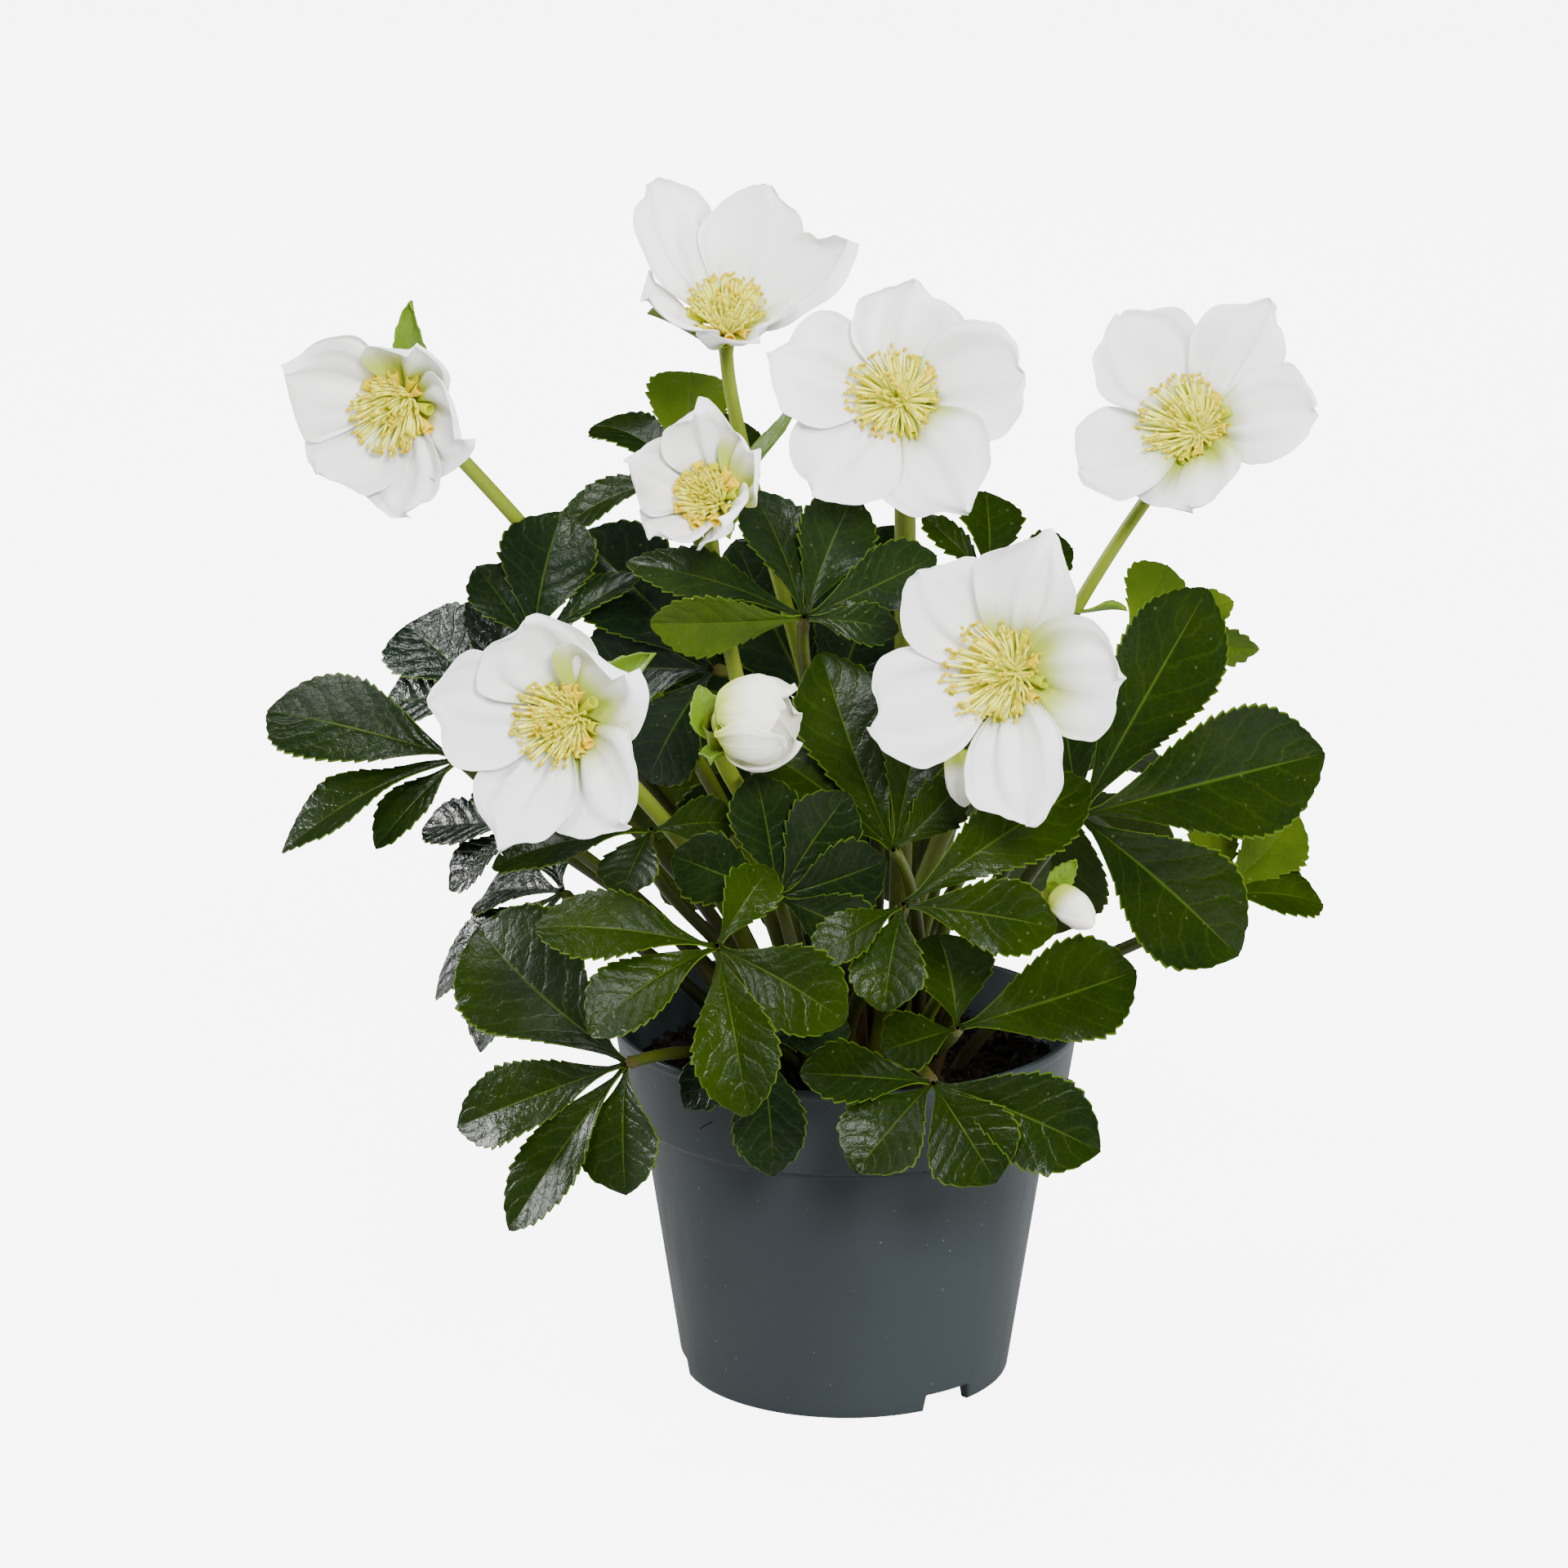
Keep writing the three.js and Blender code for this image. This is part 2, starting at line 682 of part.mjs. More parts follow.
// The middle of a flower, made on +Z: a low dome whose facets are drawn out into styles at the top, then
// stamens, and a ring of short open nectaries at the foot.
function centreGeometry(spread) {
  const points = [];
  const triangles = [];
  const ring = (count, slope, turn) =>
    Array.from({ length: count }, (_, i) => {
      const a = (2 * Math.PI * (i + turn)) / count;
      const r = CENTRE.radius * Math.sin(radians(slope));
      const z = CENTRE.height * Math.cos(radians(slope));
      return points.push(new THREE.Vector3(r * Math.cos(a), r * Math.sin(a), z)) - 1;
    });
  const top = points.push(new THREE.Vector3(0, 0, CENTRE.height)) - 1;
  const base = points.push(new THREE.Vector3()) - 1;
  const [a, b, c] = CENTRE.rings.map((count, i) => ring(count, CENTRE.slopes[i], i === 2 ? 0.5 : 0));

  // draws the facet out into a thin piece, which ends in a point or, where `open`, in a flat mouth
  const drawnOut = (facet, { length, root, end }, lean, open) => {
    const foot = new THREE.Vector3();
    for (const i of facet) foot.addScaledVector(points[i], 1 / 3);
    const bearing = Math.atan2(foot.y, foot.x);
    const tilt = radians(lean * spread);
    const along = new THREE.Vector3(
      Math.sin(tilt) * Math.cos(bearing),
      Math.sin(tilt) * Math.sin(bearing),
      Math.cos(tilt),
    );
    let last = facet;
    for (const [distance, radius] of root ? [[0.7, root], [length - (open ? 0 : 1), end]] : [[0.7, end]]) {
      const next = facet.map((i) => {
        const spoke = points[i].clone().sub(foot);
        spoke.addScaledVector(along, -spoke.dot(along)).setLength(radius);
        return points.push(foot.clone().addScaledVector(along, distance).add(spoke)) - 1;
      });
      for (let k = 0; k < 3; k++) {
        const [p, q, r, s] = [last[k], last[(k + 1) % 3], next[(k + 1) % 3], next[k]];
        triangles.push(p, q, r, p, r, s);
      }
      last = next;
    }
    if (open) return triangles.push(...last);
    const tip = points.push(foot.clone().addScaledVector(along, length)) - 1;
    for (let k = 0; k < 3; k++) triangles.push(last[k], last[(k + 1) % 3], tip);
  };

  const { style, stamen, nectary } = CENTRE;
  a.forEach((corner, i) => {
    const next = a[(i + 1) % a.length];
    const [b0, b1, b2] = [b[2 * i], b[2 * i + 1], b[(2 * i + 2) % b.length]];
    drawnOut([top, corner, next], style, style.lean);
    drawnOut([corner, b1, next], stamen, stamen.leans[0]);
    drawnOut([corner, b0, b1], stamen, stamen.leans[1]);
    triangles.push(next, b1, b2);
  });
  b.forEach((corner, i) => {
    const next = b[(i + 1) % b.length];
    const below = c[(i + 1) % c.length];
    if (i % 2) drawnOut([corner, c[i], next], stamen, stamen.leans[2]);
    else triangles.push(corner, c[i], next);
    if (i % 2) triangles.push(c[i], below, next);
    else drawnOut([c[i], below, next], nectary, nectary.lean, true);
    triangles.push(below, c[i], base);
  });
  return new THREE.BufferGeometry()
    .setAttribute("position", new THREE.Float32BufferAttribute(points.flatMap((p) => p.toArray()), 3))
    .setIndex(triangles);
}

function centreSolid(flower) {
  const frame = frameLooking(...flower.looks);
  const base = vector(flower.middle).addScaledVector(frame.out, RECEPTACLE.above + CENTRE.gap);
  const spread = 1 - flower.opens[1] / 170; // a cupped flower holds its stamens close
  return solidOf(stood(centreGeometry(spread), base, frame.out));
}

// A small green leaf on the flower stem: [direction round the stem, length, width, distance below the top].
function bract(curve, frame, [angle, length, width, below]) {
  const station = STEM.steps * (1 - below / curve.getLength());
  const lower = curve.getPointAt(Math.floor(station) / STEM.steps);
  const upper = curve.getPointAt((Math.floor(station) + 1) / STEM.steps);
  const out = upper.clone().sub(lower).normalize();
  const along = inPlane(frame, angle);
  along.addScaledVector(out, -along.dot(out)).normalize();
  const place = bladeSurface({
    root: lower.lerp(upper, station % 1),
    along,
    normal: out,
    length,
    rise: 36,
    droop: -10,
    halfWidth: (u) => (width / 2) * Math.sin(Math.PI * u ** 0.8) ** 0.8,
    lift: (u, v) => 0.12 * width * v * v,
  });
  return sheet([0, 0.3, 0.7, 1], 2, place, LEAFLET.thickness, true);
}

// The stem comes up to the flower or bud that it carries, and stops just short of it.
function stemSolid(flower, carried) {
  const frame = frameLooking(...flower.looks);
  const arrival = frameLooking(...(flower.arrives ?? flower.looks)).out;
  let below = STEM.start;
  let curve;
  for (let pass = 0; pass < STEM.passes; pass++) {
    const top = vector(flower.middle).addScaledVector(frame.out, -below);
    curve = stemCurve(crownPlace(flower.name), top, arrival, STEM.backReach, flower.sway);
    const stem = solidOf(rod(curve, flower.stem, STEM.sides, STEM.steps));
    below -= stem.minGap(carried, STEM.start) - STEM.gap;
  }
  stems.push({ curve, radius: flower.stem, sides: STEM.sides, steps: STEM.steps });
  return fused([
    rod(curve, flower.stem, STEM.sides, STEM.steps),
    ...flower.bracts.map((one) => bract(curve, frame, one)),
  ]);
}

// A bud is an egg of overlapping sepals. An opening one shows their separate tips round a hollow.
function budSolid(bud) {
  const frame = frameLooking(...bud.looks);
  const middle = vector(bud.middle);
  const egg = (share) =>
    turned(
      [[0, 0], [0.3, 0.03], [0.47, 0.25], [0.5, 0.5], [0.36, 0.8], [0.12, 0.98], [0, 1]].map(([r, z]) => [
        r * bud.width * share,
        z * bud.length * share,
      ]),
      7,
    );
  if (!bud.sepals) return fused([stood(egg(1), middle, frame.out)]);
  const wraps = Array.from({ length: bud.sepals }, (_, i) => {
    const one = { ...bud, opens: BUD.opens };
    return sepal(one, frame, [72 * i, bud.length * BUD.arc, bud.width * BUD.share]);
  });
  return fused([stood(receptacle(), middle, frame.out), ...wraps]);
}

// ---------------------------------------------------------------- pot and soil

const P = POT;
const collarFoot = P.height - P.collarHeight;
const collarRadius = (z) => P.rimRadius - (P.height - z) * P.wallSlope;
const bodyRadius = (z) => collarRadius(z) - P.collarStep;

function potSolid() {
  const footOut = bodyRadius(0);
  const inside = (z) => (z > collarFoot + 2 ? collarRadius(z) : bodyRadius(z)) - P.wall;
  const floorTop = P.floorHeight + P.floorThickness;
  const shell = turned(
    [
      [0, 0],
      [P.padRadius, 0],
      [P.padRadius + 2, P.floorHeight],
      [footOut - P.footWidth, P.floorHeight],
      [footOut - P.footWidth, 0],
      [footOut, 0],
      [bodyRadius(collarFoot - 2), collarFoot - 2],
      [collarRadius(collarFoot), collarFoot],
      [collarRadius(P.height - P.lipHeight), P.height - P.lipHeight],
      [P.rimRadius, P.height - P.lipHeight + 0.4],
      [P.rimRadius, P.height],
      [inside(P.height) - P.lip * 0.3, P.height],
      [inside(collarFoot + 4), collarFoot + 4],
      [inside(collarFoot), collarFoot],
      [inside(floorTop), floorTop],
      [0, floorTop],
    ],
    P.facets,
  );
  const notches = NOTCH.angles.map((angle) =>
    new THREE.BoxGeometry(12, NOTCH.width, 2 * NOTCH.height)
      .translate(footOut - 1, 0, 0)
      .rotateZ(radians(angle)),
  );
  const drains = Array.from({ length: DRAIN.count }, (_, i) =>
    new THREE.CylinderGeometry(DRAIN.radius, DRAIN.radius, 20, 6)
      .rotateX(Math.PI / 2)
      .translate(DRAIN.ring, 0, P.floorHeight)
      .rotateZ((2 * Math.PI * (i + 0.5)) / DRAIN.count),
  );
  return solidOf(shell).subtract(fused([...notches, ...drains]));
}

// Moist peat that fills the pot to a little under the rim, with a plain hole for every stem.
function soilSolid() {
  const c = SOIL.clearance;
  const inside = (z) => (z > collarFoot + 4 ? collarRadius(z) : bodyRadius(z)) - P.wall - c;
  const floorTop = P.floorHeight + P.floorThickness + c;
  const body = turned(
    [
      [0, floorTop],
      [inside(floorTop), floorTop],
      [inside(collarFoot), collarFoot],
      [inside(SOIL.top - SOIL.edgeDrop), SOIL.top - SOIL.edgeDrop],
      [SOIL.level, SOIL.top],
      [0, SOIL.top],
    ],
    P.facets,
  );
  const holes = stems.map(({ curve, radius, sides, steps }) => {
    const path = curve.clone();
    path.v0.z -= HOLE.clearance;
    return rod(path, radius + HOLE.clearance * 1.4, sides, steps);
  });
  return solidOf(body).subtract(fused(holes));
}

// ---------------------------------------------------------------- where the stems stand in the soil

// Every stem has a place of its own on a spiral about the crown. Upright ones stand in the middle.
const CROWN = { spacing: 4.6, first: 1 };
const growing = [...LEAVES, ...FLOWERS, ...BUDS];
const crownPlaces = new Map();

function crownPlace(name) {
  if (!crownPlaces.size) assignCrownPlaces();
  return crownPlaces.get(name).clone();
}

function assignCrownPlaces() {
  for (const { name, grows } of growing) {
    if (grows) crownPlaces.set(name, new THREE.Vector3(...grows, SOIL.top));
  }
  const taken = [...crownPlaces.values()];
  const spots = growing
    .map((_, i) => {
      const r = CROWN.spacing * Math.sqrt(i + CROWN.first);
      const a = i * Math.PI * (3 - Math.sqrt(5));
      return new THREE.Vector3(r * Math.cos(a), r * Math.sin(a), SOIL.top);
    })
    .filter((spot) => taken.every((place) => place.distanceTo(spot) > CROWN.spacing / 2));
  // the widest spread stems choose first, each the free spot nearest to its own direction
  const reach = ({ middle }) => Math.hypot(middle[0], middle[1]) / (middle[2] - SOIL.top + 40);
  const choosing = growing.filter((one) => !one.grows).sort((a, b) => reach(b) - reach(a));
  for (const one of choosing) {
    const wish = new THREE.Vector3(one.middle[0], one.middle[1], 0).clampLength(0, 28).setZ(SOIL.top);
    spots.sort((a, b) => a.distanceTo(wish) - b.distanceTo(wish));
    crownPlaces.set(one.name, spots.shift());
  }
}

// ---------------------------------------------------------------- the whole plant

const finish = (color, roughness) => new THREE.MeshStandardMaterial({ color, roughness, metalness: 0 });
const LOOKS = {
  pot: finish(0x434b4d, 0.45),
  soil: finish(0x1d1712, 0.95),
  leaf: finish(0x22400f, 0.3),
  sepals: finish(0xf0f0ee, 0.5),
  centre: finish(0xe6d24a, 0.6),
  stem: finish(0x90a834, 0.45),
};

const plant = new THREE.Group();
function add(name, solid, look) {
  const mesh = new THREE.Mesh(geometryOf(solid), LOOKS[look]);
  mesh.name = name;
  plant.add(mesh);
}

add("pot", potSolid(), "pot");
for (const leaf of LEAVES) add(leaf.name, leafSolid(leaf), "leaf");
for (const flower of FLOWERS) {
  const sepals = sepalsSolid(flower);
  add(`${flower.name}_sepals`, sepals, "sepals");
  add(`${flower.name}_centre`, centreSolid(flower), "centre");
  add(`${flower.name}_stem`, stemSolid(flower, sepals), "stem");
}
for (const bud of BUDS) {
  const sepals = budSolid(bud);
  add(`${bud.name}_sepals`, sepals, "sepals");
  add(`${bud.name}_stem`, stemSolid(bud, sepals), "stem");
}
add("soil", soilSolid(), "soil");

export default plant;
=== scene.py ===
# A Christmas rose in its nursery pot: every leaf, flower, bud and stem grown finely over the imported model.
# Lengths in the tables are millimetres, and meshes become metres as they are made.
import math

import bpy
import numpy as np
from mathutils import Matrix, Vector


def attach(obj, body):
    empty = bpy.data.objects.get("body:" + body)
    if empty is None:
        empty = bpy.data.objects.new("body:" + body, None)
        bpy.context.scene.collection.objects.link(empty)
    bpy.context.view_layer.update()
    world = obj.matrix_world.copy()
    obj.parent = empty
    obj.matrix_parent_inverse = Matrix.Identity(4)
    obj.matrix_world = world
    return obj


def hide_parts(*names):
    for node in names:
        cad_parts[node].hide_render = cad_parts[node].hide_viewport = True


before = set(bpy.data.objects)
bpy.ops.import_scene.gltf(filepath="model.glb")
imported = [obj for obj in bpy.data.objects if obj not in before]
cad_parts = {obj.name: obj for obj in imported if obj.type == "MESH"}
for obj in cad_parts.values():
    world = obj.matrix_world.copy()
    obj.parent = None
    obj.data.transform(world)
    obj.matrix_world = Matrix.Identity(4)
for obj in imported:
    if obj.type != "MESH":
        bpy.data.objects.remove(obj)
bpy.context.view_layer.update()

mm = 0.001
print("frame loaded:", len(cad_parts), "nodes")

viewpoint = {"aim": (-17.4, 0, 170), "elevation": 16, "distance": 1600, "lens": 132.6}


def makeCamera(view):
    tilt = math.radians(view["elevation"])
    back = Vector((0, -math.cos(tilt), math.sin(tilt)))
    data = bpy.data.cameras.new("camera")
    data.lens = view["lens"]
    data.sensor_width = 36
    camera = bpy.data.objects.new("camera", data)
    camera.location = (Vector(view["aim"]) + back * view["distance"]) * mm
    camera.rotation_euler = back.to_track_quat("Z", "Y").to_euler()
    bpy.context.scene.collection.objects.link(camera)
    bpy.context.scene.camera = camera


studio = {
    "world": 0.38,
    "lamps": {  # place, size and watts of each soft box, in metres, and whether gloss shows it
        "front": ((0.45, -2.15, 1.35), 0.55, 116, False),
        "left": ((-2.0, 0.7, 0.8), 0.6, 52, True),
        "right": ((2.0, -0.45, 0.85), 0.8, 74, False),
        "top": ((-1.0, 0.3, 1.9), 0.7, 26, True),
        "back": ((0.2, 2.0, 1.2), 1.2, 40, False),
        "high": ((-0.9, -1.6, 2.2), 0.7, 62, True),
    },
}


def makeStudio(style):
    world = bpy.data.worlds.new("studio")
    world.use_nodes = True
    world.node_tree.nodes["Background"].inputs["Color"].default_value = (1, 1, 1, 1)
    world.node_tree.nodes["Background"].inputs["Strength"].default_value = style["world"]
    world.cycles_visibility.glossy = False
    bpy.context.scene.world = world
    for name, (place, size, watts, glossy) in style["lamps"].items():
        light = bpy.data.lights.new(name, "AREA")
        light.size = size
        light.energy = watts
        lamp = bpy.data.objects.new(name, light)
        lamp.location = place
        lamp.rotation_euler = (Vector(place) - Vector((0, 0, 0.18))).to_track_quat("Z", "Y").to_euler()
        lamp.visible_glossy = glossy
        bpy.context.scene.collection.objects.link(lamp)


makeCamera(viewpoint)
makeStudio(studio)
print("camera and lights")

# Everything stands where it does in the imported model. "looks" is how many degrees round and up a thing faces,
# "arrives" how its stem meets it, "sway" how far the stem leans aside, and "grows" where it leaves the soil.
# A leaf's leaflets are (direction, length, width share, roll, freshness).
leaves = {
    "leaf_far_left": dict(middle=(-105.5, -30, 186), looks=(-20, 40), fresh=0.35, cool=0.3, wrinkle=0.35,
        rise=10, droop=25, leaflets=[(171, 62, 0.46), (214, 56, 0.42, 20), (238, 34, 0.5, 10)]),
    "leaf_left_glossy": dict(middle=(-99, 8, 192), looks=(-25, 40), fresh=0.1, cool=0.9, wrinkle=1, rise=10,
        droop=30, leaflets=[(148, 42, 0.62), (100, 38, 0.56), (186, 34, 0.56)]),
    "leaf_left_upright": dict(middle=(-86, -15, 214), looks=(-15, 25), sway=(-9, 0), rise=8, droop=15,
        leaflets=[(84, 38, 0.66), (132, 28, 0.5), (37, 36, 0.4, -55)]),
    "leaf_top_back": dict(middle=(-46, 48, 246), looks=(-10, 50), rise=10, droop=40,
        leaflets=[(204, 40, 0.36), (140, 40, 0.42), (94, 44, 0.5, 0, 0.9), (48, 30, 0.5)]),
    # fresh 0 gives this leaf the deepest green, partly painted shade, as it lies in the shade inside the plant
    "leaf_left_inner": dict(middle=(-37, -12, 206), looks=(-15, 8), sway=(8, -12), fresh=0.0, cool=0.6,
        wrinkle=0.15, rise=8, droop=25, leaflets=[(139, 54, 0.54), (184, 41, 0.56), (240, 38, 0.6)]),
    "leaf_top_middle": dict(middle=(-12, -41, 228), looks=(0, 35), sway=(-3, -1), fresh=0.4, cool=0.7,
        wrinkle=0.25, rise=12, droop=25,
        leaflets=[(162, 51, 0.28), (111, 40, 0.42), (69, 39, 0.5), (27, 41, 0.42), (352, 26, 0.42),
            (182, 42, 0.4, -60, 1)]),
    "leaf_top_right": dict(middle=(40, 32, 220), looks=(10, 35), rise=5, droop=30,
        leaflets=[(82, 30, 0.6), (124, 28, 0.34), (20, 30)]),
    "leaf_right_large": dict(middle=(62, -45, 174), looks=(10, 28), fresh=0.3, cool=0.15, wrinkle=0.25, rise=5,
        droop=18, leaflets=[(55, 76, 0.38), (11, 74, 0.45), (315, 58, 0.54), (92, 44, 0.44)]),
    "leaf_right_back": dict(middle=(79, 35, 203), looks=(0, 60), sway=(-3, -7), fresh=1.0, cool=0.0, rise=12,
        droop=20, leaflets=[(66, 31, 0.54), (24, 34, 0.4), (352, 38, 0.3, 55)]),
    "leaf_right_low": dict(middle=(104, 8, 135), looks=(20, 45), fresh=0.85, cool=0.0, rise=12, droop=30,
        leaflets=[(80, 28, 0.56), (36, 41, 0.46), (352, 33, 0.54, -25)]),
    "leaf_centre_tall": dict(middle=(12, -54, 167), looks=(-5, 25), sway=(4, -9), fresh=0.6, cool=0.2,
        wrinkle=0.2, rise=6, droop=14,
        leaflets=[(144, 46, 0.5), (112, 58, 0.42), (78, 50, 0.36), (48, 27, 0.5)]),
    "leaf_centre_front": dict(middle=(14, -84, 161), looks=(0, 38), fresh=0.5, cool=0.0, wrinkle=0.25, rise=12,
        droop=28, leaflets=[(260, 31, 0.62), (214, 29, 0.48), (351, 42, 0.46), (35, 63, 0.34)]),
    "leaf_front_right": dict(middle=(29, -70, 122), looks=(5, 38), fresh=0.45, cool=0.1, wrinkle=0.2, rise=12,
        droop=24, leaflets=[(97, 28, 0.84), (17, 53, 0.5), (196, 22, 0.8)]),
    "leaf_front_low": dict(middle=(22, -88, 113), looks=(0, 40), arrives=(10, 0), fresh=0.25, cool=0.1,
        wrinkle=0.25, rise=14, droop=30,
        leaflets=[(176, 36, 0.5), (230, 33, 0.7), (300, 33, 0.74), (336, 49, 0.5)]),
    # fresh 0.76 is partly this leaf's lighter green and partly painted highlight, for the sheen on its wrinkles
    "leaf_front_left": dict(middle=(-35, -86, 150), looks=(-5, 42), fresh=0.76, cool=0.0, wrinkle=0.3, rise=12,
        droop=30, leaflets=[(174, 50, 0.42), (218, 42, 0.5), (282, 49, 0.44), (330, 41, 0.54), (62, 28, 0.5)]),
    "leaf_low_left": dict(middle=(-60, -58, 108), looks=(-28, 25), arrives=(-45, 0), fresh=0.45, cool=0.2,
        wrinkle=0.3, rise=6, droop=18,
        leaflets=[(151, 66, 0.54), (206, 56, 0.4), (242, 57, 0.36), (280, 36, 0.72)]),
    "leaf_front_hanging": dict(middle=(-24, -74, 121), looks=(0, 30), rise=8, droop=22,
        leaflets=[(275, 38, 0.5), (222, 28, 0.5), (5, 25, 0.5)]),
    "leaf_left_middle": dict(middle=(-53, -52, 172), looks=(-10, 55), sway=(-14, 10), rise=10, droop=35,
        leaflets=[(191, 46, 0.44), (254, 22, 0.8), (14, 24, 0.6)]),
    "leaf_left_side": dict(middle=(-88, -8, 160), looks=(-35, 40), fresh=0.1, cool=0.9, wrinkle=0.9, rise=8,
        droop=30, leaflets=[(150, 26, 0.55), (188, 38, 0.4), (226, 30, 0.5)]),
    "leaf_left_low_back": dict(middle=(-80, 22, 132), looks=(-50, 45), fresh=0.1, cool=0.8, wrinkle=0.9,
        rise=8, droop=34, leaflets=[(190, 38, 0.56), (232, 52, 0.46), (268, 52, 0.44), (140, 32, 0.5)]),
    "leaf_back_left": dict(middle=(-70, 72, 178), looks=(-140, 50), rise=10, droop=35,
        leaflets=[(30, 48, 0.5), (82, 44, 0.5), (338, 46, 0.5), (290, 50, 0.5)]),
    "leaf_back_middle": dict(middle=(0, 81.6, 196), looks=(180, 45), sway=(12, 0), rise=10, droop=30,
        leaflets=[(8, 48, 0.52), (66, 46, 0.5), (122, 46, 0.5), (184, 50, 0.52)]),
    "leaf_back_right": dict(middle=(54, 71.2, 152), looks=(155, 24), rise=10, droop=32,
        leaflets=[(92, 44, 0.5), (152, 48, 0.52), (214, 54, 0.56), (268, 56, 0.6)]),
    "leaf_back_low": dict(middle=(-12, 76, 150), looks=(182, 18), rise=10, droop=30,
        leaflets=[(186, 58, 0.56), (230, 56, 0.56), (272, 56, 0.56), (314, 58, 0.56), (356, 56, 0.56)]),
    # fresh 0 gives this leaf the deepest green, partly painted shade of the dark middle of the plant
    "leaf_inner": dict(middle=(-6, 34, 178), looks=(0, 15), sway=(16, 8), fresh=0.0, cool=0.5, wrinkle=0.2,
        rise=6, droop=12,
        leaflets=[(70, 60, 0.6), (116, 58, 0.6), (166, 56, 0.6), (232, 60, 0.6), (16, 60, 0.58)]),
    # fresh 0 and a little cool give this leaf the deepest green, partly painted shade of the plant's middle
    # where it stands
    "leaf_inner_front": dict(middle=(-19, -64, 157), looks=(0, 15), grows=(-6, -33), fresh=0.0, cool=0.25,
        wrinkle=0.2, rise=6, droop=14,
        leaflets=[(158, 31, 0.6), (100, 34, 0.56), (56, 34, 0.56), (18, 31, 0.6), (335, 30, 0.6)]),
}

# A flower "opens" from the angle its sepals rise at to the one they end at. Its sepals are (direction, length,
# width, point), and its bracts (direction, length, width, distance below the top). "green" is how far the green
# of the root spreads and to which side, "young" the share of stamens still short over the middle, "centre" the
# size of its crown of stamens, and "bends" which way and how far they lean.
flowers = {
    "flower_left": dict(middle=(-119, -25, 284), looks=(-22, -8), arrives=(-50, 50), sway=(-5, 22),
        opens=(22, 45), green=(1, 60), young=0.2, centre=0.82, bends=(232, 3), stem=2.1,
        sepals=[(157, 32, 35, 0.9), (62, 24, 28), (350, 27, 33), (282, 31, 28), (221, 29, 33)],
        bracts=[(94, 29, 11, 7)]),
    "flower_top": dict(middle=(-33, 5, 297), looks=(6, 58), sway=(0, -3), opens=(30, 58), green=(0.5, 280),
        young=0.5, centre=0.86, bends=(95, 1.5), stem=2,
        sepals=[(127, 45, 30), (66, 41, 30), (8, 41, 26, 0.7), (288, 25, 32), (200, 31, 30)],
        bracts=[(196, 28, 12, 5), (10, 26, 12, 42)]),
    "flower_upper_middle": dict(middle=(13, -25, 284), looks=(-6, 22), opens=(32, 4), green=(0.45, 300),
        young=0.3, centre=0.92, bends=(150, 1.2), stem=3,
        sepals=[(82, 30, 32), (11, 37, 33), (303, 37, 33), (233, 36, 32), (164, 35, 33)],
        bracts=[(20, 16, 8, 14)]),
    "flower_right": dict(middle=(94, -10, 272), looks=(-24, 36), arrives=(10, 45), sway=(-12, 0),
        opens=(32, 8), green=(0.85, 290), young=0.15, centre=0.9, bends=(160, 2.5), stem=1.9,
        sepals=[(133, 37, 32), (63, 39, 27, 0.6), (6, 39, 29, 0.4), (286, 28, 32), (217, 34, 32)],
        bracts=[(14, 15, 9, 66)]),
    "flower_small": dict(middle=(-36, -45, 261), looks=(-26, 32), arrives=(-26, 14), sway=(-25, -9),
        opens=(22, 74), green=(1, 20), young=0.8, centre=0.54, bends=(200, 1), stem=2.1,
        sepals=[(100, 26, 24), (30, 25, 23), (318, 22, 23), (245, 23, 25), (172, 25, 24)],
        bracts=[(304, 18, 11, 10)]),
    "flower_front_right": dict(middle=(42, -75, 222), looks=(-24, 12), arrives=(0, 45), sway=(3, 18),
        opens=(32, 2), green=(0.75, 10), young=0.15, bends=(185, 3), stem=2.5,
        sepals=[(134, 35, 29), (74, 41, 28, 1.1), (4, 37, 34), (289, 42, 31, 0.35), (208, 38, 34)],
        bracts=[(40, 16, 8, 12)]),
    "flower_front_left": dict(middle=(-73, -80, 211), looks=(-26, 6), arrives=(-42, 54), sway=(-7, 23),
        opens=(24, 30), green=(1, 30), young=0.9, centre=0.84, bends=(205, 2.6), stem=2.3,
        sepals=[(108, 29, 38), (177, 36, 34), (252, 37, 32), (317, 36, 37), (36, 28, 34)],
        bracts=[(38, 34, 13, 5)]),
}

buds = {
    "bud_opening": dict(middle=(-34, -70, 207), looks=(72, 6), arrives=(40, 50), sway=(9, 4), stem=2.4,
        length=21.5, width=20, open=True, bracts=[(112, 15, 10, 8), (262, 11, 8, 11)]),
    "bud_front": dict(middle=(29, -59, 197), looks=(20, -72), arrives=(20, -72), grows=(9.5, -6),
        sway=(18, 20), stem=1.7, length=16, width=9.5, open=False, bracts=[(90, 10, 6, 4)]),
    "bud_right": dict(middle=(55, -62, 158), looks=(50, -30), arrives=(40, 30), stem=1.7, length=15, width=10,
        open=False, bracts=[(60, 12, 7, 3)]),
}

pot = dict(height=102, rimRadius=65, collarHeight=25, collarStep=3.5, wallSlope=0.15, wall=1.3, lipHeight=2.6,
    floorHeight=5, floorThickness=1.6, footWidth=2.6, padRadius=12, sides=288, rounding=0.6,
    wallRows=(4.6, 5.4, 9, 40), notches=(-52, 68, 188), notchWidth=15, notchHeight=5, drains=6,
    drainRadius=3.5, drainRing=27, drainRows=13)
soil = dict(top=88, edgeDrop=2.5, level=36, holeDepth=12)
crown = dict(spacing=4.6, first=1, spread=28, steady=40, leansOut=0.3, rises=0.42)
seeds = {"leaves": 100, "flowers": 300, "buds": 500, "peat": 71}

plants = {**leaves, **flowers, **buds}
for plant in plants.values():
    plant["middle"] = np.array(plant["middle"], float)
goldenTurn = math.pi * (3 - math.sqrt(5))


def unit(v):
    return v / np.linalg.norm(v, axis=-1, keepdims=True)


